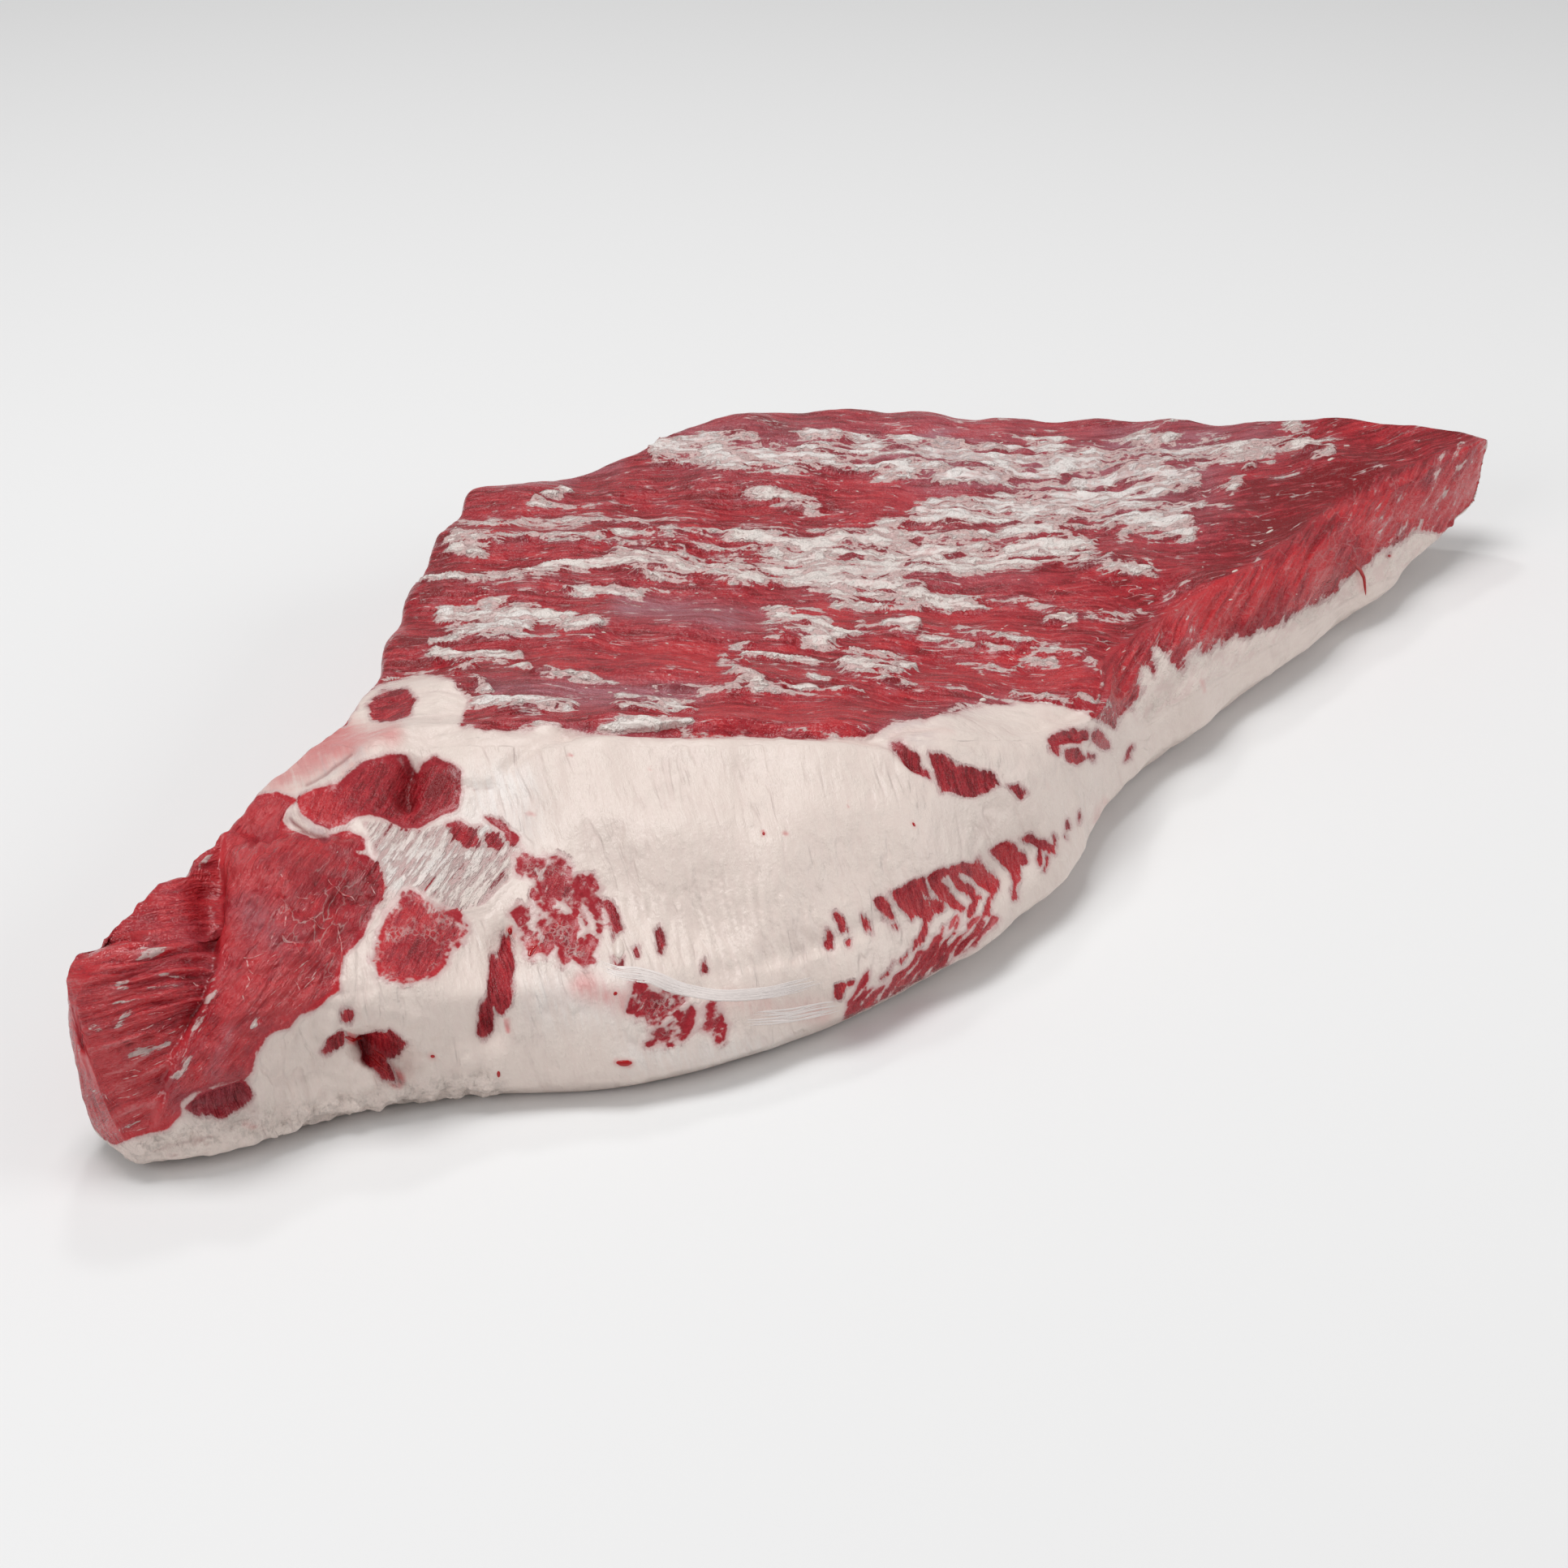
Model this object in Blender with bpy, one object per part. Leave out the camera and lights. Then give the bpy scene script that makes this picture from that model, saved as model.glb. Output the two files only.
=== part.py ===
"""Raw beef brisket lying on its fat cap with the lean side up, as one closed solid.

The cut is a loft along its long diagonal, from the point end (-X) to the far corner of
the flat (+X). Each station is a closed section through eleven corners: the floor it lies
on, the low bulge and the bend of the near side, the ridge of the kernel fat, and the thin
far edge. The corners follow named outlines. Lobes, ledges, slits and hollows are then
raised or sunk along the surface's own normals.
"""
import bpy
import numpy as np

# Driving dimensions, in metres
LENGTH = 0.545       # point end to the far corner of the flat
WIDTH = 0.270        # near bulge to the far edge, at the widest
THICKNESS = 0.062    # board to the top of the ridge over the kernel fat

# The outlines and the relief are in hundredths of the length: X from the point end,
# Y from the long diagonal towards the far edge, Z up from the board

# Outlines seen from above
NEAR_BULGE_Y = ((0, -2.6), (4, -4.9), (9, -5.9), (14, -8.1), (20, -12.8), (27, -15.2), (33, -15.9),
                (44, -14.8), (50, -12.6), (57, -9.3), (65, -7.5), (82, -4.0), (91, -2.4), (100, -0.4))
BEND_Y = ((0, -1.2), (4, -3.6), (9, -4.4), (15, -7.7), (20, -10.6), (27, -14.2), (33, -15.2),
          (44, -13.8), (50, -12.3), (57, -8.8), (65, -6.8), (82, -3.6), (91, -1.8), (100, -0.3))
RIDGE_Y = ((0, -0.2), (4, -1.2), (9, 0.0), (14, 2.6), (18, 5.2), (22, 7.0), (27, 2.5), (32, -3.3),
           (38, -8.2), (46, -10.6), (52, -10.7), (59, -6.4), (65, -5.1), (75, -3.5), (87, -1.8), (100, -0.3))
FAR_EDGE_Y = ((0, 1.4), (4, 3.2), (8, 4.3), (12, 6.3), (17, 9.4), (25, 14.3), (32, 21.6), (38, 27.4),
              (44, 32.3), (47, 34.1), (51, 33.4), (58, 32.6), (64, 32.0), (68, 30.9), (73, 27.2),
              (80, 20.5), (89, 12.4), (94, 9.1), (100, 0.9))

# Heights above the board
FLOOR_Z = ((0, 0.5), (5, 0.2), (9, 0.0), (82, 0.0), (89, 0.6), (95, 1.8), (100, 2.9))
NEAR_BULGE_Z = ((0, 1.1), (9, 1.3), (19, 1.5), (33, 1.8), (50, 2.0), (84, 1.7), (100, 3.2))
BEND_Z = ((0, 7.0), (4, 7.3), (9, 6.2), (15, 5.5), (21, 5.1), (31, 4.8), (50, 4.4), (57, 5.0), (100, 5.1))
RIDGE_Z = ((0, 9.1), (4, 9.4), (9, 9.7), (15, 10.1), (22, 10.6), (27, 11.2), (32, 11.0), (38, 10.5),
           (46, 8.9), (52, 7.7), (74, 7.3), (100, 7.0))
FAR_EDGE_Z = ((0, 9.0), (4, 9.4), (12, 9.7), (25, 9.2), (32, 8.6), (47, 8.3), (53, 7.9), (65, 8.8),
              (77, 7.9), (89, 7.3), (100, 7.0))

# Corners of a section
NEAR_CORNER = 1.65        # the floor begins this far inside the near bulge
FAR_CORNER = 2.6          # and ends this far inside the far edge
CORNER_SHARE = 0.22       # neither takes more than this share of a narrow section
SLOPE_BELLY = (0.50, 0.60)    # bulge of the near slope: share of its run and of its rise
TOP_SAG = (0.50, 0.45)        # sag of the top between ridge and far edge
FAR_SHOULDER = 0.5        # the far side's upper and lower corners stand this far inside it
FAR_WAIST = 0.62          # height of the far side's fullest point, as a share of the edge's
FAR_LIP = 1.5             # height of the far side's lowest corner over the floor
CORNER_PLACES = (0.00, 0.09, 0.15, 0.24, 0.36, 0.47, 0.62, 0.76, 0.83, 0.88, 0.93, 1.00)
CORNER_BLUR = 0.006       # rounding of the corners, as a share of the girth
FINER_OUTLINE = 8         # the corners are rounded on this many times the mesh's points

# The mesh
STATIONS = 84
POINTS_AROUND = 64
POINT_END_DENSITY = 1.35  # stations lie closer by this power towards the point end
NOSE_STATIONS = 4         # stations that round each end
NOSE_LENGTH = (1.1, 1.0)  # length of the rounding at the point end and at the flat's end
NOSE_FULLNESS = 0.6       # how blunt the two ends are: 1 is an ellipse, less is blunter
NOSE_START = 0.15         # angle at which the rounding starts, in radians; at 0 it would be a point
FLAT_END_SLANT = (82, 1.7)    # past this place the floor draws back from the end, by this much at most
SLANT_GROWTH = 1.5        # and grows by this power
FLAT_BELOW = 0.0004       # metres; what is lower than this lies flat on the board

# Relief fades in over these heights above the board, and over this length from both ends
FADE_HEIGHTS = (0.6, 2.2)
FADE_LENGTH = 1.5

# Relief: what it is, the line it runs along, its reach, and its height (sunk where negative)
RELIEF = (
    ("lobe over the point end", ((11, 1, 10), (9.4, -2.8, 7.7), (5.6, -4.3, 5.9), (3.3, -4, 4.2)), 2.4, 0.9),
    ("ledge under that lobe", ((10.5, 4.4, 10), (8, 1.8, 9.6), (6.3, -1.2, 9), (3.9, -3.4, 7)), 0.8, -0.8),
    ("notch of the point end", ((1.8, 2.4, 9.2), (3.3, 1.2, 9.2)), 0.8, -0.5),
    ("first side lobe", ((6.1, 2.8, 9.4),), 1.5, 0.3),
    ("second side lobe", ((10.3, 4.8, 9.9),), 1.7, 0.35),
    ("third side lobe", ((14.6, 7.2, 9.9),), 1.8, 0.2),
    ("bridge between the last two side lobes", ((12.4, 6.4, 9.6),), 1.3, 0.3),
    ("gap before the second lobe", ((8.1, 4.8, 9.6), (8.4, 2.8, 9.8)), 0.7, -0.55),
    ("gap before the third lobe", ((12.5, 4.9, 9.9), (12.5, 3.4, 9.9)), 0.7, -0.4),
    ("muscle behind the kernel fat", ((16.8, 5.2, 10.1), (18.2, 3.9, 10), (21.5, 2.7, 9.6)), 1.9, 0.7),
    ("slit in that muscle", ((21, 4.4, 10.2), (19.6, 2.8, 9.8)), 0.6, -0.9),
    ("crease before that muscle", ((14, 4.1, 9.9), (15.4, 2, 9.6)), 0.7, -0.5),
    ("hole in the fat", ((10.9, -5.7, 3.9), (11.7, -6.6, 2.8)), 0.9, -1.3),
    ("recess at the point", ((2.9, -4.4, 3.5), (4.7, -5.2, 3.2)), 0.9, -1.0),
    ("bulge of white fat", ((15, -4.1, 7.3), (12.2, -5.9, 5.5)), 2.3, 0.8),
    ("veined patch", ((21, -4.8, 7.4), (21.5, -8.4, 6.2)), 1.8, 0.35),
    ("red slits", ((18.2, -6.2, 6.7), (15.4, -8.5, 3.9)), 0.7, -0.6),
    ("kernel fat", ((25.7, -3, 9.6), (31, -9.1, 8.2), (41.5, -11.8, 7.9)), 4.2, 0.8),
    ("crease over the kernel fat", ((26, 3.2, 11.2), (32, -3.3, 11), (38, -8.1, 10.5), (46, -10.7, 8.8),
                                    (52, -9.6, 7.7)), 0.8, -0.45),
    ("crease under the kernel fat", ((23.8, -12.9, 4.8), (31.2, -14.8, 4.9), (38.7, -14.8, 4.4),
                                     (44.3, -13.8, 4.4)), 0.8, -0.45),
    ("lip of the fat cap", ((30.3, -15.3, 2.9), (38.2, -15.4, 2.3), (48.9, -12.9, 2.5)), 1.1, 0.35),
    ("trough inside the flat's edge", ((62, -3.2, 7.5), (69.4, -1.2, 7.5), (77.3, -0.2, 7.4),
                                       (86.2, 0.9, 7.2), (93, 0.9, 7.1)), 2.0, -0.6),
    ("step from lean to fat", ((60, -8, 4.2), (64.7, -6.8, 5.2), (72.7, -5.3, 4.5), (80, -4, 3.6),
                               (86, -3, 3.6)), 0.7, -0.3),
    ("edge of the fat cap on the far side", ((12, 6.4, 2.6), (25, 14.3, 2.8), (38, 27.4, 2.5),
                                             (47, 34.1, 2.8), (58, 32.6, 2.4), (68, 30.9, 2.7),
                                             (80, 20.5, 2.6), (94, 9.1, 3.6)), 0.8, -0.4),
    ("dents of the far side", ((30, 19.5, 5.6), (31, 20.5, 4)), 1.8, -0.5),
    ("swell of the far side", ((62, 32.4, 5.5), (72, 28.2, 5.2)), 2.2, 0.35),
    ("fat patch on the lean", ((30.8, 11, 9.7), (34, 7.5, 9.8)), 2.4, 0.3),
    ("hollow in the lean", ((62, 12, 7.9), (72, 10, 7.6)), 4.5, -0.4),
    ("swell in the lean", ((48, 20, 8.4), (60, 24, 8.2)), 4.0, 0.3),
)

# Slow waves of the lean's surface: height, and the length of a wave along X and along Y
WAVES = ((0.16, 13.0, 9.0), (0.12, 7.5, 17.0), (0.10, 9.0, -6.0))

# Where fat shows instead of lean: everything below this height, by place along the length
FAT_TOP_Z = ((0, 1.6), (8, 2.6), (13, 6.8), (20, 7.5), (26, 9.6), (33, 10.6), (40, 9.6), (48, 7.8),
             (57, 5.6), (70, 4.4), (86, 3.2), (100, 2.6))
FAR_FAT_TOP = 1.8         # the fat cap's height on the far side
NEAR_SIDE_MARGIN = 0.6    # the near side reaches this far past the ridge

LEAN_COLOUR = (0.36, 0.045, 0.05, 1.0)
FAT_COLOUR = (0.80, 0.70, 0.62, 1.0)


def smooth_curve(knots, places):
    """Value at each place of the smooth curve through the knots, which never overshoots them."""
    knots = np.array(knots, float)
    steps = np.diff(knots[:, 0])
    slopes = np.diff(knots[:, 1]) / steps
    tangents = np.concatenate([slopes[:1], (slopes[:-1] + slopes[1:]) / 2, slopes[-1:]])
    turning = np.concatenate([[False], slopes[:-1] * slopes[1:] <= 0, [False]])
    tangents[turning] = 0.0
    limit = 3 * np.minimum(np.abs(np.append(slopes, slopes[-1])), np.abs(np.append(slopes[0], slopes)))
    tangents = np.clip(tangents, -limit, limit)
    span = np.clip(np.searchsorted(knots[:, 0], places, side="right") - 1, 0, len(steps) - 1)
    share = (places - knots[span, 0]) / steps[span]
    start, end = knots[span, 1], knots[span + 1, 1]
    rise = (share ** 2) * (3 - 2 * share)
    leave = share * (1 - share) ** 2 * steps[span] * tangents[span]
    arrive = share ** 2 * (share - 1) * steps[span] * tangents[span + 1]
    return start + (end - start) * rise + leave + arrive


def section_corners(places):
    """The (y, z) corners of the section at each place along the length, the first again at the end."""
    near_y = smooth_curve(NEAR_BULGE_Y, places)
    bend_y = smooth_curve(BEND_Y, places)
    ridge_y = smooth_curve(RIDGE_Y, places)
    far_y = smooth_curve(FAR_EDGE_Y, places)
    floor = smooth_curve(FLOOR_Z, places)
    near_z = smooth_curve(NEAR_BULGE_Z, places)
    bend_z = smooth_curve(BEND_Z, places)
    ridge_z = smooth_curve(RIDGE_Z, places)
    far_z = smooth_curve(FAR_EDGE_Z, places)
    narrow = CORNER_SHARE * (far_y - near_y)
    middle = (near_y + far_y) / 2
    corners = (
        (middle, floor),
        (near_y + np.minimum(NEAR_CORNER, narrow), floor),
        (near_y, near_z),
        (bend_y, bend_z),
        (bend_y + (ridge_y - bend_y) * SLOPE_BELLY[0], bend_z + (ridge_z - bend_z) * SLOPE_BELLY[1]),
        (ridge_y, ridge_z),
        (ridge_y + (far_y - ridge_y) * TOP_SAG[0], ridge_z + (far_z - ridge_z) * TOP_SAG[1]),
        (far_y - np.minimum(FAR_SHOULDER, narrow / 2), far_z),
        (far_y, far_z * FAR_WAIST),
        (far_y - np.minimum(FAR_SHOULDER, narrow / 2), floor + FAR_LIP),
        (far_y - np.minimum(FAR_CORNER, narrow), floor),
        (middle, floor),
    )
    return np.stack([np.stack(corner, axis=-1) for corner in corners], axis=1)


def rounded_sections(places, points):
    """Each section's outline with its corners blurred round the girth, as (place, point, yz)."""
    fine = points * FINER_OUTLINE
    around = np.arange(fine) / fine
    outline = np.array([[np.interp(around, CORNER_PLACES, corners[:, axis]) for axis in (0, 1)]
                        for corners in section_corners(places)])
    waves_around = np.fft.rfftfreq(fine, 1 / fine)
    blur = np.exp(-2 * (np.pi * waves_around * CORNER_BLUR) ** 2)
    outline = np.fft.irfft(np.fft.rfft(outline, axis=2) * blur, fine, axis=2)
    return np.moveaxis(outline[:, :, ::FINER_OUTLINE], 1, 2)


def station_places():
    """Places of the stations, and how full the section is at each: below 1 at the rounded ends."""
    turn = np.linspace(NOSE_START, np.pi / 2, NOSE_STATIONS, endpoint=False)
    fullness = np.sin(turn) ** NOSE_FULLNESS
    inset = 1 - np.cos(turn)
    start = NOSE_LENGTH[0] * inset
    end = 100 - NOSE_LENGTH[1] * inset
    even = np.linspace(0, 1, STATIONS - 2 * NOSE_STATIONS) ** POINT_END_DENSITY
    middle = NOSE_LENGTH[0] + even * (100 - sum(NOSE_LENGTH))
    places = np.concatenate([start, middle, end[::-1]])
    return places, np.concatenate([fullness, np.ones_like(middle), fullness[::-1]])


def base_form():
    """The loft without relief, as an array (station, point, xyz)."""
    places, fullness = station_places()
    outline = rounded_sections(places, POINTS_AROUND)
    centre = outline.mean(axis=1, keepdims=True)
    outline = centre + (outline - centre) * fullness[:, None, None]
    slant_start, slant = FLAT_END_SLANT
    growth = np.clip((places - slant_start) / (100 - slant_start), 0, 1) ** SLANT_GROWTH
    height = outline[..., 1] / outline[..., 1].max(axis=1, keepdims=True)
    along = places[:, None] - slant * growth[:, None] * (1 - height)
    return np.concatenate([along[..., None], outline], axis=2)


def outward_normals(form):
    """Unit normals of the grid of points, square to its two directions."""
    along = np.gradient(form, axis=0)
    around = np.roll(form, -1, axis=1) - np.roll(form, 1, axis=1)
    normals = np.cross(along, around)
    return normals / np.linalg.norm(normals, axis=2, keepdims=True)


def distance_to_line(points, line):
    """Distance from each point to the nearest stretch of a line of corners."""
    line = np.array(line, float)
    nearest = np.linalg.norm(points - line[0], axis=-1)
    for start, end in zip(line[:-1], line[1:]):
        run = end - start
        share = np.clip((points - start) @ run / (run @ run), 0, 1)
        nearest = np.minimum(nearest, np.linalg.norm(points - start - share[..., None] * run, axis=-1))
    return nearest


def with_relief(form):
    """The form with its lobes, creases and slow waves, all but the floor it lies on."""
    raised = np.zeros(form.shape[:2])
    for _name, line, reach, height in RELIEF:
        raised += height * np.exp(-(distance_to_line(form, line) / reach) ** 2)
    for height, along, across in WAVES:
        phase = 2 * np.pi * (form[..., 0] / along + form[..., 1] / across)
        raised += height * np.sin(phase)
    off_the_floor = np.interp(form[..., 2], FADE_HEIGHTS, (0, 1))
    inside_the_ends = np.clip(np.minimum(form[..., 0], 100 - form[..., 0]) / FADE_LENGTH, 0, 1)
    raised *= off_the_floor * inside_the_ends
    return form + raised[..., None] * outward_normals(form)


def at_real_size(form):
    """The form in metres, stretched to the driving dimensions, centred over its own footprint."""
    low = form.min(axis=(0, 1))
    size = form.max(axis=(0, 1)) - low
    points = (form - low) / size * (LENGTH, WIDTH, THICKNESS)
    points[..., :2] -= (LENGTH / 2, WIDTH / 2)
    points[..., 2] = np.where(points[..., 2] < FLAT_BELOW, 0.0, points[..., 2])
    return points


def loft_mesh(name, points):
    """A closed mesh over the grid of points, with a fan of triangles on each end."""
    stations, around = points.shape[:2]
    index = np.arange(stations * around).reshape(stations, around)
    beside = np.roll(index, -1, axis=1)
    sides = np.stack([index[:-1], index[1:], beside[1:], beside[:-1]], axis=-1).reshape(-1, 4)
    ends = [points[0].mean(axis=0), points[-1].mean(axis=0)]
    first, last = stations * around, stations * around + 1
    start_fan = [(first, a, b) for a, b in zip(index[0], beside[0])]
    end_fan = [(last, b, a) for a, b in zip(index[-1], beside[-1])]
    vertices = np.concatenate([points.reshape(-1, 3), ends])
    faces = [tuple(map(int, face)) for face in list(sides) + start_fan + end_fan]
    mesh = bpy.data.meshes.new(name)
    mesh.from_pydata(vertices.tolist(), [], faces)
    mesh.update()
    return mesh


def coat(name, colour, roughness):
    """A plain moist finish."""
    material = bpy.data.materials.new(name)
    material.use_nodes = True
    shader = material.node_tree.nodes["Principled BSDF"]
    shader.inputs["Base Color"].default_value = colour
    shader.inputs["Roughness"].default_value = roughness
    shader.inputs["Metallic"].default_value = 0.0
    return material


def colour_faces(mesh, form):
    """Lean above and fat below the fat cap's upper line, by the middle of each face."""
    mesh.materials.append(coat("lean_meat", LEAN_COLOUR, 0.45))
    mesh.materials.append(coat("beef_fat", FAT_COLOUR, 0.5))
    flat_points = form.reshape(-1, 3)
    for face in mesh.polygons:
        corners = [index for index in face.vertices if index < len(flat_points)]
        x, y, z = flat_points[corners].mean(axis=0)
        near_side = y < float(smooth_curve(RIDGE_Y, np.array([x]))[0]) + NEAR_SIDE_MARGIN
        limit = float(smooth_curve(FAT_TOP_Z, np.array([x]))[0]) if near_side else FAR_FAT_TOP
        face.material_index = 1 if z < limit else 0


def build_brisket():
    """The whole cut in its own collection."""
    for old in list(bpy.data.objects):
        bpy.data.objects.remove(old)
    collection = bpy.data.collections.new("raw_brisket")
    bpy.context.scene.collection.children.link(collection)
    form = with_relief(base_form())
    mesh = loft_mesh("brisket", at_real_size(form))
    colour_faces(mesh, form)
    mesh.shade_smooth()
    brisket = bpy.data.objects.new("brisket", mesh)
    collection.objects.link(brisket)
    return brisket


build_brisket()
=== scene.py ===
"""Raw beef brisket, lean side up: the finish of every surface, as an add-on for Blender 4.5.

The skin of the cut is one grid of points, stations along the length by places around the
girth. The form, its relief and its patches of lean and fat are worked out on whole arrays,
then the grid is cut lengthwise into four closed pieces. Patches that show in the photo
are drawn as outlines in its pixels and reach the surface through the photo's own view.
"""
import math

import bpy
import numpy as np
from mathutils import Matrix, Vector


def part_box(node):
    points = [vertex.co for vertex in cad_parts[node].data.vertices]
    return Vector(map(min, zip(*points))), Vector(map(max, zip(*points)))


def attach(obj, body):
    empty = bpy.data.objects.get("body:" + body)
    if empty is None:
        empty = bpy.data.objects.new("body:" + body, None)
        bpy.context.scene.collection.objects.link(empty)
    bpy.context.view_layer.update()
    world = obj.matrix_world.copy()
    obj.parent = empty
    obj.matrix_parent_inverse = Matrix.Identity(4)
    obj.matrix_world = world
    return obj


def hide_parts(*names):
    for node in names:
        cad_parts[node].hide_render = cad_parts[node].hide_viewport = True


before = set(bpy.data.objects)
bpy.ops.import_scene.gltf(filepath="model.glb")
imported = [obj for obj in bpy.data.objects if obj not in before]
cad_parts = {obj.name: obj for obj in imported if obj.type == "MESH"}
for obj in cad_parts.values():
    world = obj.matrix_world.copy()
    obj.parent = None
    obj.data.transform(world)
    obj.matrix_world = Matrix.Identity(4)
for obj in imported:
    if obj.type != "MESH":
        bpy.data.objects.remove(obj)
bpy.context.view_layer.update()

bl_info = {
    "name": "Raw Beef Brisket",
    "version": (1, 0, 0),
    "blender": (4, 5, 0),
    "location": "3D View > Sidebar > Brisket",
    "description": "Builds a marbled raw brisket with its kernel fat, fat cap and ragged point end",
    "category": "Add Mesh",
}

NODE = "brisket"
BODY = "root"
LOW, HIGH = (np.array(corner, float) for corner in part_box(NODE))
LENGTH = float(HIGH[0] - LOW[0])
UNIT = LENGTH / 100          # the form is in hundredths of the length
MILLI = 0.001

# The photo: its side in pixels, and the view it was taken from
PHOTO_SIDE = 1932
PHOTO_LENS = 70.0
SENSOR = 36.0
VIEW_TURN = math.radians(-42.64)
VIEW_DROP = math.radians(28.0)
VIEW_AIM = (-0.113 * LENGTH, -0.1116 * LENGTH, 0.055 * LENGTH)
VIEW_DISTANCE = 1.514 * LENGTH
PIXELS_PER_MM = 4.55         # near the middle of the cut, across the view
GRID_PIXELS = 7.0            # the narrowest groove that the grid of the skin holds

# Fine relief, in millimetres
WAVE_HEIGHT = 1.9
FACET_HEIGHT = 2.0
SWELL_HEIGHT = 0.5
LEDGE_STEP = 1.2
RECESS_DEPTH = 1.8
PATCH_DEPTH = 0.4

# What the skin stores at each point, besides the lay of its fibres, for the finish to read
SKIN_VALUES = (
    "cover", "tone", "film", "stain", "grey", "dark", "net", "rag", "calm", "crumb", "sleek",
)
DEEPEST_FOLD_SHADE = (0.012, 0.002, 0.003)     # its colour: the darkest painted shade, at the bottom of the deepest slits

# Small pieces: the share of a vein's drawn width that is built, and in millimetres the bead's half
# width and height and the most that a drop of blood stands up
VEIN_SHARE = 0.52
BEAD_SIZE = (1.35, 0.9)
BLOOD_HEIGHT = 0.35

# Stage: how far the floor goes each way, and the soft square lights with place, side and power
FLOOR_REACH = 8.0
LIGHTS = (
    ("key", (-0.2, 0.2, 1.7), 0.8, 16.5), ("front", (1.2, -1.3, 0.8), 1.0, 10.0),
    ("left", (-1.5, -0.2, 0.8), 0.8, 6.0), ("glint", (0.5, 0.9, 1.5), 0.18, 3.4),
)

# Form: outlines seen from above, hundredths of the length from the point end and from the diagonal
NEAR_BULGE_Y = (
    (0, -2.6), (4, -4.9), (9, -5.9), (14, -8.1), (20, -12.8), (27, -15.2), (33, -15.9), (44, -14.8),
    (50, -12.6), (57, -9.3), (65, -7.5), (82, -4.0), (91, -2.4), (100, -0.4),
)
BEND_Y = (
    (0, -1.2), (4, -3.6), (9, -4.4), (15, -7.7), (20, -10.6), (27, -14.2), (33, -15.2), (44, -13.8),
    (50, -12.3), (57, -8.8), (65, -6.8), (82, -3.6), (91, -1.8), (100, -0.3),
)
RIDGE_Y = (
    (0, -0.2), (4, -1.2), (9, 0.0), (14, 2.6), (18, 5.2), (22, 7.0), (27, 2.5), (32, -3.3), (38, -8.2),
    (46, -10.6), (52, -10.7), (59, -6.4), (65, -5.1), (75, -3.5), (87, -1.8), (100, -0.3),
)
FAR_EDGE_Y = (
    (0, 1.4), (4, 3.2), (8, 4.3), (12, 6.3), (17, 9.4), (25, 14.3), (32, 21.6), (38, 27.4), (44, 32.3),
    (47, 34.1), (51, 33.4), (58, 32.6), (64, 32.0), (68, 30.9), (73, 27.2), (80, 20.5), (89, 12.4),
    (94, 9.1), (100, 0.9),
)

# Form: heights above the board
FLOOR_Z = ((0, 0.5), (5, 0.2), (9, 0.0), (82, 0.0), (89, 0.6), (95, 1.8), (100, 2.9))
NEAR_BULGE_Z = ((0, 1.1), (9, 1.3), (19, 1.5), (33, 1.8), (50, 2.0), (84, 1.7), (100, 3.2))
BEND_Z = (
    (0, 7.0), (4, 7.3), (9, 6.2), (15, 5.5), (21, 5.1), (31, 4.8), (50, 4.4), (57, 5.0),
    (100, 5.1),
)
RIDGE_Z = (
    (0, 9.1), (4, 9.4), (9, 9.7), (15, 10.1), (22, 10.6), (27, 11.2), (32, 11.0), (38, 10.5), (46, 8.9),
    (52, 7.7), (74, 7.3), (100, 7.0),
)
FAR_EDGE_Z = (
    (0, 9.0), (4, 9.4), (12, 9.7), (25, 9.2), (32, 8.6), (47, 8.3), (53, 7.9), (65, 8.8), (77, 7.9),
    (89, 7.3), (100, 7.0),
)

# Form: the corners of a section and the rounding of the ends
NEAR_CORNER = 1.65
FAR_CORNER = 2.6
CORNER_SHARE = 0.22
SLOPE_BELLY = (0.50, 0.60)
TOP_SAG = (0.50, 0.45)
FAR_SHOULDER = 0.5
FAR_WAIST = 0.62
FAR_LIP = 1.5
CORNER_PLACES = (0.00, 0.09, 0.15, 0.24, 0.36, 0.47, 0.62, 0.76, 0.83, 0.88, 0.93, 1.00)
CORNER_BLUR = 0.006
NOSE_LENGTH = (1.1, 1.0)
NOSE_FULLNESS = 0.6
FLAT_END_SLANT = (82, 1.7)   # where it starts and how far it goes
SLANT_GROWTH = 1.5
FADE_HEIGHTS = (0.6, 2.2)    # the relief fades in between these heights above the board
FADE_LENGTH = 1.5            # and over this length at both ends

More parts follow.
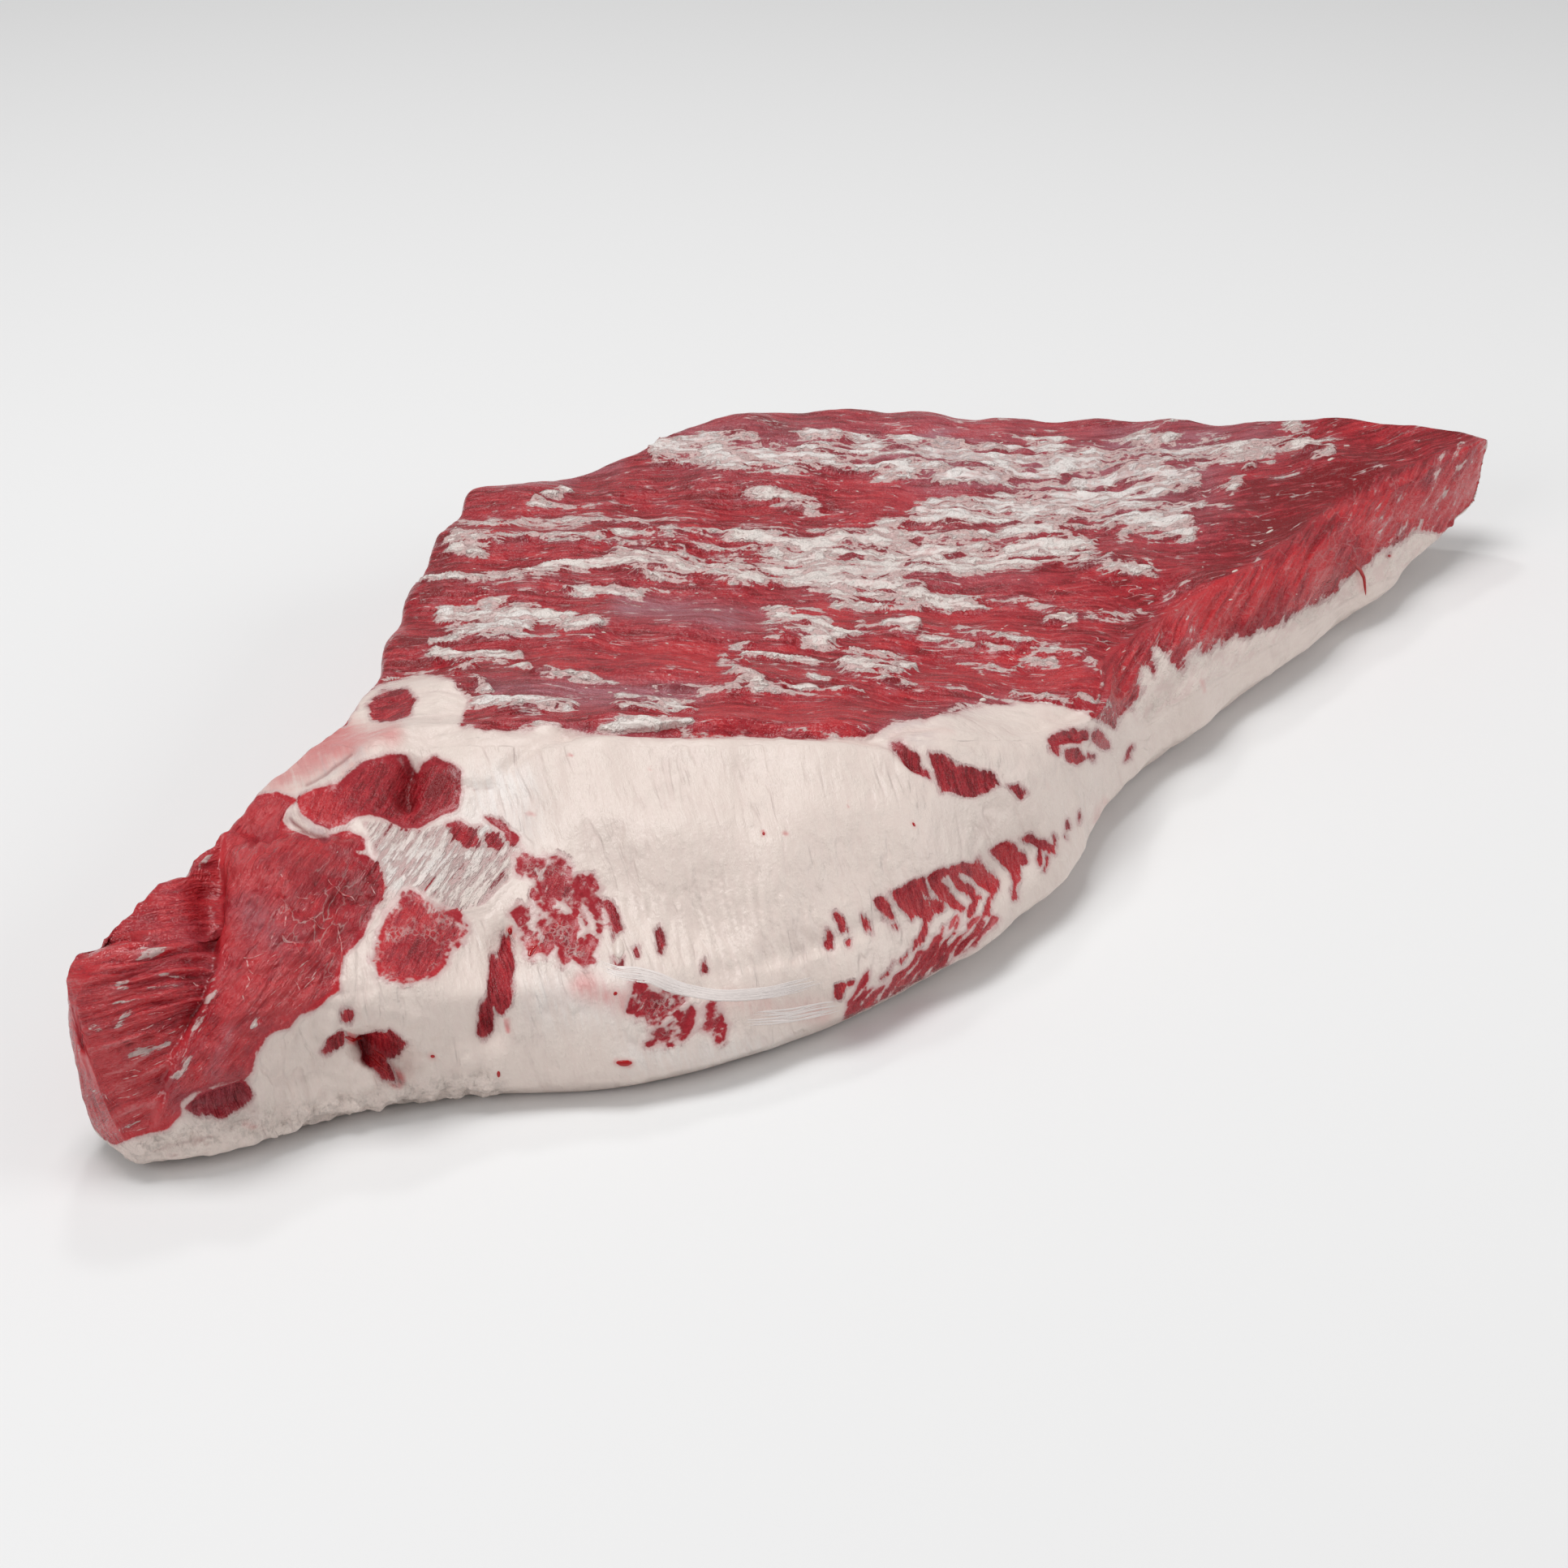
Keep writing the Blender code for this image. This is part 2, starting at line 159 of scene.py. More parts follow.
# Relief that the solid has too: line it runs along, reach, height, all in hundredths of the length
RELIEF = (
    (((11, 1, 10), (9.4, -2.8, 7.7), (5.6, -4.3, 5.9), (3.3, -4, 4.2)), 2.4, 0.9),
    (((10.5, 4.4, 10), (8, 1.8, 9.6), (6.3, -1.2, 9), (3.9, -3.4, 7)), 0.8, -0.8),
    (((1.8, 2.4, 9.2), (3.3, 1.2, 9.2)), 0.8, -0.5), (((6.1, 2.8, 9.4),), 1.5, 0.3),
    (((10.3, 4.8, 9.9),), 1.7, 0.35), (((14.6, 7.2, 9.9),), 1.8, 0.2), (((12.4, 6.4, 9.6),), 1.3, 0.3),
    (((8.1, 4.8, 9.6), (8.4, 2.8, 9.8)), 0.7, -0.55), (((12.5, 4.9, 9.9), (12.5, 3.4, 9.9)), 0.7, -0.4),
    (((16.8, 5.2, 10.1), (18.2, 3.9, 10), (21.5, 2.7, 9.6)), 1.9, 0.7),
    (((21, 4.4, 10.2), (19.6, 2.8, 9.8)), 0.6, -0.9), (((14, 4.1, 9.9), (15.4, 2, 9.6)), 0.7, -0.5),
    (((10.9, -5.7, 3.9), (11.7, -6.6, 2.8)), 0.9, -1.3),
    (((2.9, -4.4, 3.5), (4.7, -5.2, 3.2)), 0.9, -1.0), (((15, -4.1, 7.3), (12.2, -5.9, 5.5)), 2.3, 0.8),
    (((21, -4.8, 7.4), (21.5, -8.4, 6.2)), 1.8, 0.35),
    (((18.2, -6.2, 6.7), (15.4, -8.5, 3.9)), 0.7, -0.6),
    (((25.7, -3, 9.6), (31, -9.1, 8.2), (41.5, -11.8, 7.9)), 4.2, 0.8),
    (((26, 3.2, 11.2), (32, -3.3, 11), (38, -8.1, 10.5), (46, -10.7, 8.8), (52, -9.6, 7.7)), 0.8, -0.45),
    (((23.8, -12.9, 4.8), (31.2, -14.8, 4.9), (38.7, -14.8, 4.4), (44.3, -13.8, 4.4)), 0.8, -0.45),
    (((30.3, -15.3, 2.9), (38.2, -15.4, 2.3), (48.9, -12.9, 2.5)), 1.1, 0.35),
    (((62, -3.2, 7.5), (69.4, -1.2, 7.5), (77.3, -0.2, 7.4), (86.2, 0.9, 7.2), (93, 0.9, 7.1)), 2.0,
     -0.6),
    (((60, -8, 4.2), (64.7, -6.8, 5.2), (72.7, -5.3, 4.5), (80, -4, 3.6), (86, -3, 3.6)), 0.7, -0.3),
    (((12, 6.4, 2.6), (25, 14.3, 2.8), (38, 27.4, 2.5), (47, 34.1, 2.8), (58, 32.6, 2.4),
      (68, 30.9, 2.7), (80, 20.5, 2.6), (94, 9.1, 3.6)),
     0.8, -0.4),
    (((30, 19.5, 5.6), (31, 20.5, 4)), 1.8, -0.5), (((62, 32.4, 5.5), (72, 28.2, 5.2)), 2.2, 0.35),
    (((30.8, 11, 9.7), (34, 7.5, 9.8)), 2.4, 0.3), (((62, 12, 7.9), (72, 10, 7.6)), 4.5, -0.4),
    (((48, 20, 8.4), (60, 24, 8.2)), 4.0, 0.3),
)
WAVES = ((0.16, 13.0, 9.0), (0.12, 7.5, 17.0), (0.10, 9.0, -6.0))

# The skin's grid: places around the girth where one piece ends and the next begins, and their rows
STATIONS = 600
NOSE_STATIONS = 14
POINT_END_DENSITY = 1.15
SEAMS = (0.085, 0.47, 0.60, 0.765, 1.085)
ROWS = {"cut_side": 165, "lean_face_near": 160, "lean_face_far": 160, "cap_underside": 80}
WALL_DEPTH = 3 * MILLI       # how far a closing wall goes square in before it turns to the spine
SPINE = (0.5, 0.33, 0.25)    # where the closing walls meet, as shares of the section's box

# Lean areas, as outlines in photo pixels
MARBLED_LEAN = (
    (455, 848), (480, 837), (520, 828), (556, 836), (580, 862), (566, 893), (600, 899), (650, 897),
    (670, 890), (700, 893), (735, 897), (770, 903), (830, 904), (900, 901), (1000, 903), (1075, 903),
    (1100, 890), (1150, 882), (1200, 870), (1260, 862), (1310, 868), (1345, 880), (1372, 897),
    (1382, 878), (1403, 859), (1405, 850), (1401, 822), (1411, 814), (1418, 822), (1424, 833),
    (1420, 812), (1418, 799), (1426, 792), (1434, 796), (1438, 810), (1446, 818), (1454, 828),
    (1459, 810), (1465, 801), (1473, 795), (1478, 791), (1481, 802), (1488, 799), (1495, 793),
    (1503, 786), (1505, 795), (1517, 785), (1523, 779), (1528, 785), (1540, 783), (1556, 770),
    (1559, 776), (1576, 766), (1581, 757), (1585, 763), (1600, 752), (1612, 742), (1617, 746),
    (1630, 736), (1645, 728), (1656, 712), (1668, 706), (1690, 690), (1712, 672), (1745, 655),
    (1782, 655), (1850, 660), (1890, 540), (1700, 450), (900, 420), (560, 540), (430, 760), (395, 900),
    (425, 892), (440, 862),
)
POINT_LOBES = (
    (300, 985), (340, 975), (365, 985), (350, 1000), (346, 1010), (358, 1022), (400, 1029), (430, 1022),
    (449, 1035), (448, 1045), (437, 1050), (452, 1056), (466, 1066), (474, 1090), (471, 1110),
    (456, 1125), (451, 1142), (440, 1162), (421, 1176), (419, 1200), (415, 1220), (395, 1236),
    (370, 1250), (352, 1265), (335, 1271), (325, 1278), (315, 1296), (309, 1315), (306, 1336),
    (270, 1337), (240, 1349), (221, 1361), (222, 1375), (208, 1386), (188, 1396), (160, 1403),
    (138, 1412), (118, 1422), (80, 1430), (50, 1300), (50, 1130), (140, 1060), (230, 990),
)
MUSCLE = (
    (365, 985), (385, 970), (415, 966), (430, 950), (450, 936), (480, 928), (500, 930), (507, 945),
    (514, 950), (520, 940), (535, 932), (555, 940), (567, 950), (568, 975), (562, 998), (545, 1003),
    (530, 1011), (515, 1021), (495, 1019), (475, 1008), (455, 1004), (440, 1005), (425, 1014),
    (405, 1020), (385, 1013), (370, 1000),
)
ISLAND = (
    (505, 1098), (520, 1108), (540, 1118), (560, 1128), (575, 1140), (570, 1155), (555, 1166),
    (548, 1185), (535, 1200), (515, 1208), (490, 1209), (468, 1202), (460, 1185), (465, 1160),
    (475, 1140), (480, 1125), (495, 1110),
)
RECESS = (
    (226, 1364), (243, 1350), (275, 1340), (304, 1334), (309, 1350), (296, 1366), (275, 1376),
    (245, 1373),
)
LONG_SLIT = (
    (628, 1152), (630, 1165), (633, 1190), (630, 1205), (632, 1222), (628, 1238), (620, 1251),
    (612, 1248), (609, 1241), (608, 1251), (604, 1269), (597, 1283), (588, 1273), (590, 1250),
    (598, 1225), (603, 1195), (603, 1180), (608, 1174), (612, 1182), (616, 1165), (618, 1149),
    (624, 1154),
)
# Patches with a net of fine fat in them
NETTED_PATCHES = (
    ISLAND,
    ((637, 1058), (645, 1052), (655, 1056), (661, 1062), (660, 1081), (655, 1083), (645, 1075),
     (638, 1073)),
    ((664, 1058), (675, 1056), (685, 1055), (697, 1062), (703, 1070), (701, 1082), (706, 1099),
     (713, 1110), (719, 1120), (722, 1131), (722, 1142), (716, 1131), (708, 1119), (700, 1116),
     (692, 1106), (685, 1109), (680, 1116), (672, 1121), (665, 1112), (661, 1100), (660, 1086),
     (662, 1075)),
    ((705, 1088), (710, 1078), (718, 1078), (722, 1086), (718, 1096), (712, 1102), (706, 1096)),
    ((724, 1082), (730, 1081), (736, 1090), (736, 1099), (728, 1092)),
    ((720, 1096), (730, 1100), (736, 1110), (738, 1125), (743, 1138), (737, 1147), (735, 1136),
     (728, 1124), (722, 1116), (718, 1104)),
    ((631, 1124), (640, 1117), (650, 1120), (652, 1130), (646, 1136), (650, 1147), (640, 1144),
     (636, 1134)),
    ((643, 1160), (652, 1148), (662, 1151), (661, 1140), (668, 1134), (678, 1131), (680, 1120),
     (688, 1122), (694, 1130), (702, 1128), (712, 1136), (715, 1146), (708, 1150), (710, 1161),
     (716, 1158), (725, 1152), (733, 1160), (732, 1172), (727, 1184), (720, 1192), (712, 1184),
     (706, 1178), (700, 1184), (692, 1189), (688, 1178), (690, 1168), (684, 1158), (680, 1168),
     (672, 1177), (664, 1172), (656, 1179), (651, 1181), (650, 1168)),
    ((780, 1218), (783, 1205), (790, 1202), (797, 1212), (800, 1222), (812, 1229), (820, 1222),
     (832, 1228), (845, 1230), (838, 1240), (828, 1249), (818, 1251), (812, 1263), (800, 1263),
     (795, 1250), (786, 1253), (778, 1247), (777, 1232)),
    ((808, 1268), (818, 1268), (828, 1261), (833, 1262), (833, 1277), (826, 1284), (812, 1286),
     (798, 1287), (806, 1278)),
    ((840, 1258), (842, 1250), (850, 1241), (854, 1248), (851, 1262), (846, 1274), (838, 1281),
     (840, 1270)),
    ((868, 1240), (875, 1235), (882, 1237), (888, 1250), (894, 1262), (890, 1279), (884, 1283),
     (878, 1275), (867, 1268), (872, 1256)),
)
LEAN_PATCHES = (
    MUSCLE, RECESS, LONG_SLIT,
    ((452, 866), (470, 852), (500, 850), (513, 862), (505, 880), (480, 890), (458, 886)),
    ((548, 1015), (565, 1011), (585, 1025), (593, 1040), (580, 1046), (563, 1035)),
    ((597, 1006), (612, 1009), (626, 1019), (640, 1033), (638, 1038), (615, 1021)),
    ((597, 1026), (612, 1028), (619, 1042), (611, 1047), (600, 1041)),
    ((621, 1028), (632, 1030), (636, 1041), (626, 1040)),
    ((745, 1112), (752, 1112), (757, 1120), (762, 1134), (767, 1146), (759, 1152), (754, 1159),
     (753, 1148), (750, 1138), (747, 1126)),
    ((755, 1180), (762, 1187), (768, 1179), (766, 1191), (758, 1191)),
    ((808, 1148), (812, 1143), (818, 1152), (819, 1165), (816, 1175), (811, 1177), (810, 1165)),
    ((863, 1200), (867, 1181), (871, 1198)), ((780, 1168), (787, 1165), (785, 1177)),
    ((1098, 912), (1108, 912), (1130, 930), (1147, 960), (1130, 952), (1112, 932)),
    ((1143, 926), (1160, 930), (1190, 944), (1225, 952), (1230, 966), (1205, 980), (1160, 976),
     (1155, 955), (1148, 940)),
    ((1240, 967), (1255, 965), (1265, 978), (1256, 984)),
    ((395, 1296), (404, 1279), (420, 1270), (429, 1279), (415, 1291), (402, 1301)),
    ((422, 1240), (435, 1247), (430, 1263), (421, 1258)),
    ((440, 1276), (458, 1272), (480, 1270), (500, 1286), (490, 1300), (470, 1304), (492, 1334),
     (470, 1330), (452, 1310)),
    ((1292, 912), (1302, 902), (1322, 897), (1336, 897), (1344, 908), (1330, 916), (1318, 914),
     (1306, 918), (1304, 930), (1293, 922)),
    ((1312, 922), (1328, 922), (1337, 934), (1328, 942), (1316, 936)),
    ((1344, 904), (1352, 899), (1366, 912), (1369, 922), (1356, 921), (1347, 914)),
    ((1341, 928), (1349, 930), (1346, 938)), ((1386, 938), (1390, 925), (1394, 918), (1392, 934)),
)
# The ribs: lean cut by seams of fat at the edge of the kernel fat, in an upper row and a lower band
UPPER_RIBS = (
    ((1029, 1123), (1035, 1127), (1041, 1139), (1046, 1149), (1037, 1149), (1032, 1138), (1028, 1128)),
    ((1061, 1126), (1066, 1127), (1070, 1137), (1075, 1152), (1070, 1150), (1065, 1141)),
    ((1077, 1109), (1084, 1106), (1090, 1107), (1096, 1119), (1101, 1131), (1106, 1146), (1100, 1142),
     (1095, 1133), (1090, 1131), (1086, 1121), (1080, 1118)),
    ((1098, 1097), (1112, 1090), (1128, 1083), (1139, 1083), (1143, 1094), (1151, 1105), (1140, 1101),
     (1131, 1096), (1137, 1106), (1147, 1117), (1150, 1127), (1146, 1137), (1140, 1148), (1136, 1160),
     (1133, 1167), (1134, 1152), (1137, 1140), (1138, 1131), (1128, 1128), (1124, 1135), (1116, 1128),
     (1110, 1118), (1104, 1108), (1100, 1103)),
    ((1142, 1082), (1150, 1075), (1160, 1070), (1166, 1073), (1165, 1085), (1172, 1099), (1181, 1111),
     (1188, 1119), (1184, 1125), (1175, 1121), (1160, 1108), (1150, 1096)),
    ((1147, 1107), (1156, 1111), (1168, 1118), (1163, 1122), (1155, 1126), (1148, 1116)),
    ((1169, 1074), (1174, 1071), (1184, 1082), (1200, 1093), (1209, 1106), (1202, 1117), (1194, 1129),
     (1193, 1121), (1199, 1110), (1188, 1100), (1177, 1096), (1171, 1086)),
    ((1174, 1068), (1184, 1064), (1199, 1064), (1204, 1055), (1209, 1064), (1222, 1074), (1230, 1086),
     (1229, 1096), (1223, 1108), (1219, 1120), (1221, 1131), (1215, 1128), (1208, 1141), (1210, 1128),
     (1214, 1115), (1220, 1101), (1212, 1095), (1204, 1089), (1196, 1080), (1186, 1077), (1178, 1073)),
    ((1219, 1047), (1230, 1040), (1242, 1037), (1250, 1043), (1260, 1055), (1262, 1064), (1257, 1068),
     (1258, 1081), (1254, 1096), (1252, 1110), (1248, 1109), (1246, 1098), (1249, 1088), (1247, 1075),
     (1240, 1067), (1228, 1059), (1221, 1053)),
    ((1256, 1032), (1268, 1029), (1280, 1034), (1292, 1039), (1298, 1040), (1299, 1030), (1302, 1034),
     (1300, 1053), (1295, 1051), (1292, 1065), (1288, 1075), (1285, 1073), (1288, 1062), (1289, 1049),
     (1283, 1047), (1284, 1060), (1281, 1067), (1278, 1058), (1278, 1045), (1268, 1038), (1258, 1035)),
    ((1315, 1011), (1318, 1020), (1314, 1033), (1311, 1031), (1313, 1020)),
    ((1328, 999), (1332, 1006), (1329, 1015), (1327, 1008)),
    ((1017, 1145), (1022, 1149), (1024, 1160), (1026, 1169), (1019, 1171), (1016, 1165), (1020, 1157)),
    ((1043, 1161), (1048, 1157), (1046, 1165)),
    ((1029, 1215), (1040, 1211), (1051, 1209), (1052, 1213), (1040, 1218), (1034, 1231), (1027, 1231)),
    ((1108, 1186), (1114, 1176), (1121, 1169), (1117, 1180), (1110, 1189)),
    ((1124, 1173), (1128, 1162), (1133, 1155), (1131, 1164), (1126, 1175)),
    ((1085, 1206), (1092, 1195), (1100, 1185), (1097, 1197), (1090, 1207)),
)
LOWER_RIBS = (
    (1040, 1256), (1045, 1236), (1052, 1224), (1056, 1214), (1062, 1206), (1069, 1197), (1069, 1208),
    (1066, 1222), (1074, 1216), (1080, 1219), (1092, 1212), (1100, 1202), (1112, 1195), (1120, 1190),
    (1126, 1180), (1130, 1172), (1140, 1172), (1150, 1160), (1158, 1150), (1163, 1141), (1161, 1157),
    (1168, 1150), (1170, 1141), (1176, 1130), (1182, 1123), (1181, 1135), (1178, 1148), (1186, 1151),
    (1192, 1147), (1192, 1139), (1200, 1133), (1207, 1130), (1213, 1134), (1220, 1129), (1229, 1131),
    (1225, 1142), (1216, 1148), (1209, 1153), (1203, 1164), (1190, 1172), (1175, 1182), (1160, 1194),
    (1140, 1206), (1120, 1218), (1100, 1229), (1080, 1241), (1062, 1253), (1044, 1262),
)
SEAM_DIRECTION = (0.62, -0.785)      # the fine seams of fat across the lower band
SEAM_PITCH = 10.0
SHEET = (
    (440, 1010), (480, 1002), (540, 1012), (600, 1010), (650, 1040), (640, 1080), (600, 1120),
    (560, 1130), (500, 1095), (475, 1125), (450, 1150), (474, 1090), (455, 1050),
)
WALL = (
    (1350, 820), (1400, 777), (1450, 746), (1500, 716), (1560, 686), (1600, 652), (1640, 617),
    (1680, 591), (1760, 561), (1845, 530), (1850, 670), (1700, 720), (1400, 900),
)
KERNEL = (
    (560, 890), (690, 895), (850, 903), (1090, 905), (1250, 912), (1330, 880), (1360, 960),
    (1280, 1035), (1200, 1062), (1100, 1100), (1020, 1150), (1020, 1200), (850, 1215), (740, 1180),
    (760, 1140), (740, 1090), (700, 1055), (650, 1050), (630, 1000), (600, 950),
)
LEDGE = (
    (278, 1000), (272, 1065), (270, 1150), (264, 1190), (250, 1235), (212, 1300), (200, 1345),
    (180, 1400),
)

# Fat on the marbled lean: a band from one pixel to another, and half its width
FAT_BANDS = (
    (820, 552, 1120, 556, 24), (1120, 560, 1300, 560, 20), (1300, 572, 1420, 560, 15),
    (1160, 592, 1300, 586, 10), (1150, 640, 1330, 625, 27), (1330, 600, 1470, 590, 13),
    (1330, 628, 1450, 640, 20), (1000, 668, 1150, 655, 16), (1060, 690, 1330, 680, 18),
    (1330, 690, 1410, 700, 9), (930, 700, 1100, 705, 20), (775, 694, 930, 702, 18),
    (640, 702, 760, 692, 8), (520, 714, 640, 706, 5), (700, 728, 860, 722, 7), (565, 668, 592, 676, 12),
    (560, 765, 640, 762, 21), (640, 755, 730, 768, 11), (535, 786, 565, 785, 8),
    (590, 738, 660, 742, 8), (540, 805, 600, 813, 6), (600, 812, 700, 832, 5), (490, 850, 560, 866, 20),
    (590, 867, 700, 866, 8), (590, 840, 600, 850, 7), (560, 818, 640, 808, 5), (765, 862, 850, 872, 8),
    (700, 838, 760, 843, 3), (740, 895, 850, 886, 4), (660, 893, 690, 899, 4), (860, 850, 1000, 848, 5),
    (800, 845, 900, 851, 5), (890, 815, 930, 838, 9), (900, 800, 1000, 812, 3),
    (950, 765, 1012, 772, 12), (1000, 792, 1060, 776, 8), (1040, 730, 1130, 736, 18),
    (1100, 736, 1200, 746, 11), (1050, 820, 1112, 830, 13), (1102, 766, 1125, 770, 9),
    (1000, 836, 1060, 852, 5), (1290, 762, 1325, 763, 5), (1440, 562, 1560, 556, 13),
    (1560, 546, 1640, 552, 7), (1590, 518, 1605, 540, 8), (1400, 540, 1440, 536, 9),
    (1380, 658, 1480, 612, 5), (1520, 600, 1560, 548, 5), (660, 612, 700, 606, 5),
    (920, 600, 1000, 622, 6), (900, 655, 1010, 672, 5), (1180, 870, 1290, 874, 6),
)
# Lean with hardly any fat in it
SOLID_LEAN = (
    (760, 812, 880, 812, 30), (870, 882, 1080, 886, 15), (588, 889, 650, 891, 7),
    (695, 881, 750, 884, 6), (778, 896, 820, 898, 6), (835, 882, 900, 884, 8), (600, 826, 690, 832, 6),
    (610, 848, 800, 852, 6), (1510, 680, 1640, 610, 34), (1150, 780, 1340, 830, 36),
    (1240, 715, 1400, 730, 20), (1010, 520, 880, 512, 12), (640, 800, 720, 815, 12),
    (560, 690, 740, 678, 9), (1180, 800, 1400, 740, 26), (1650, 540, 1800, 550, 30),
    (520, 700, 500, 800, 18), (580, 605, 720, 600, 8),
)
# White lines on lean, in photo pixels: half their width, then the line
WHITE_LINES = (
    (3.0, (565, 646), (640, 644), (730, 640), (830, 646)),
    (3.0, (560, 664), (650, 661), (800, 655), (980, 654)),
    (3.0, (700, 662), (850, 672), (900, 680), (1000, 664)),
    (2.5, (1180, 742), (1260, 738), (1330, 760), (1420, 758)),
    (2.5, (1100, 772), (1180, 790), (1250, 800), (1300, 806)),
    (2.5, (1180, 770), (1260, 790), (1330, 806)),
    (2.5, (1180, 818), (1240, 826), (1275, 816), (1300, 812)),
    (3.0, (1250, 856), (1290, 858), (1322, 862), (1345, 858)),
    (2.0, (1699, 578), (1701, 611), (1696, 653)),
    (3.4, (1799, 546), (1777, 582), (1749, 611), (1711, 638), (1692, 660)),
    (2.6, (1832, 545), (1806, 570), (1777, 599), (1753, 630)),
    (2.4, (1669, 618), (1667, 636), (1658, 650), (1655, 676)),
    (1.6, (1786, 556), (1768, 580), (1752, 598)), (1.8, (1760, 605), (1738, 640), (1712, 668)),
    (2.0, (1790, 590), (1772, 622), (1764, 650)), (1.6, (1812, 578), (1796, 610), (1786, 640)),
    (3.6, (1728, 592), (1735, 606), (1728, 618)), (3.2, (1765, 640), (1740, 656)),
    (2.2, (1551, 690), (1552, 700)), (4.0, (1341, 811), (1352, 822), (1360, 833)),
    (1.5, (1360, 833), (1358, 850), (1350, 864)), (1.5, (1382, 818), (1386, 838), (1396, 842)),
    (1.5, (1352, 863), (1366, 868), (1368, 880)), (5.0, (1465, 803), (1467, 785), (1461, 764)),
    (2.5, (1412, 792), (1416, 806), (1420, 818)), (2.5, (1430, 780), (1438, 796), (1442, 810)),
    (1.5, (1452, 760), (1458, 775)),
)

# Small places, in photo pixels
SMALL_RING = (1250, 985, 48, 30)         # a faint ring on the kernel: middle and half widths
ISLAND_HEART = (512, 1174, 34, 28)       # the middle of the island, free of the net of fat
NETTED_LOBE = (398, 1130, 70, 85)        # where the net spreads over a lobe
BROWN_EDGE = ((190, 1422), (270, 1405))
KERNEL_FOOT = (
    (700, 1120), (860, 1060), (1010, 1080), (1040, 1150), (1000, 1205), (850, 1212), (730, 1180),
)

# The crumbly edge of the fat at the point end
LUMPY_FAT = (
    (312, 1300), (350, 1262), (420, 1205), (470, 1212), (540, 1250), (600, 1300), (640, 1340),
    (540, 1352), (330, 1392), (215, 1408), (250, 1370), (312, 1350),
)
CRUMBLY_RIM = ((130, 1420), (200, 1405), (280, 1392), (360, 1382), (440, 1366), (540, 1350), (600, 1342))

# White flecks on the lean of the point end, in photo pixels: middle, reach along, half their width,
# and turn in degrees
FLECKS = (
    (179, 1169, 8, 3.0, -4), (188, 1177, 15, 2.2, -16), (150, 1210, 11, 6.0, -20),
    (117, 1266, 8, 4.5, 0), (152, 1254, 13, 4.0, -50), (258, 1228, 9, 4.5, -45),
    (244, 1259, 15, 5.0, -62), (216, 1325, 11, 4.5, -30), (229, 1306, 9, 3.5, -50),
    (313, 1259, 8, 2.6, -60), (309, 1264, 5, 1.8, 20), (146, 1392, 22, 3.0, -22),
    (178, 1294, 16, 5.0, -12), (201, 1290, 7, 3.0, -30), (120, 1350, 9, 4.0, 8),
    (250, 1190, 5, 2.5, 10), (260, 1205, 6, 2.5, -30), (409, 1049, 7, 4.0, 10),
    (318, 1294, 7, 3.0, -35), (200, 1215, 18, 1.6, -6), (215, 1202, 20, 1.4, 2),
    (160, 1232, 16, 1.4, -10), (250, 1060, 9, 3.5, -50),
)

# Lighter or darker lean, in places a painted highlight: a band, half its width, and how much
TONES = (
    # The first two bands are a painted highlight along the top edge of the cut side
    (1440, 755, 1640, 632, 7, 0.35), (1640, 632, 1840, 536, 7, 0.35), (400, 1120, 440, 1160, 24, -0.22),
    (320, 1200, 400, 1230, 26, 0.18), (290, 1260, 240, 1330, 24, 0.15),
    (1040, 1180, 1250, 1080, 44, 0.45), (300, 1010, 420, 1240, 60, 0.14),
    (1400, 800, 1800, 620, 60, 0.16),
    # The wide band down the point end is partly its own brighter lean and partly painted sheen
    (640, 1080, 730, 1170, 40, 0.15), (150, 1110, 150, 1380, 110, 0.44),
    (1450, 760, 1640, 680, 26, 0.30), (1690, 650, 1830, 590, 24, 0.75),
    (330, 1030, 300, 1330, 90, 0.12), (1060, 1190, 1290, 1060, 60, 0.12),
    (530, 1120, 480, 1150, 26, 0.35), (470, 1190, 540, 1195, 16, 0.25), (770, 812, 870, 812, 34, 0.30),
    (1150, 780, 1340, 820, 60, 0.22), (950, 762, 1040, 758, 14, 0.35), (880, 884, 1080, 884, 18, 0.25),
    (1100, 530, 1230, 528, 10, 0.5), (500, 800, 560, 640, 26, -0.22), (1500, 690, 1650, 600, 34, -0.38),
    (1340, 800, 1600, 648, 14, -0.35), (600, 605, 900, 600, 22, -0.12), (470, 985, 550, 960, 34, -0.15),
    (385, 990, 415, 1000, 30, 0.3), (470, 1200, 520, 1170, 60, 0.3), (518, 1166, 500, 1178, 22, -0.5),
    (250, 1360, 290, 1352, 26, -0.12), (400, 1290, 420, 1276, 14, -0.25),
    (480, 1285, 490, 1295, 12, -0.25), (130, 1230, 165, 1228, 16, 0.45),
    (285, 1050, 280, 1070, 18, 0.3), (205, 1335, 245, 1375, 16, -0.3), (1420, 790, 1640, 690, 34, 0.12),
    (1560, 610, 1800, 542, 22, -0.3), (1270, 765, 1400, 745, 16, -0.2), (600, 845, 850, 850, 14, -0.15),
    (310, 1075, 345, 1085, 14, 0.35), (1060, 640, 1200, 610, 16, 0.2), (970, 605, 1100, 595, 12, 0.1),
    (140, 1165, 190, 1158, 12, -0.3), (360, 1010, 400, 1024, 7, -0.5), (440, 1108, 460, 1130, 14, -0.3),
    (655, 1165, 660, 1170, 14, 0.4),
)
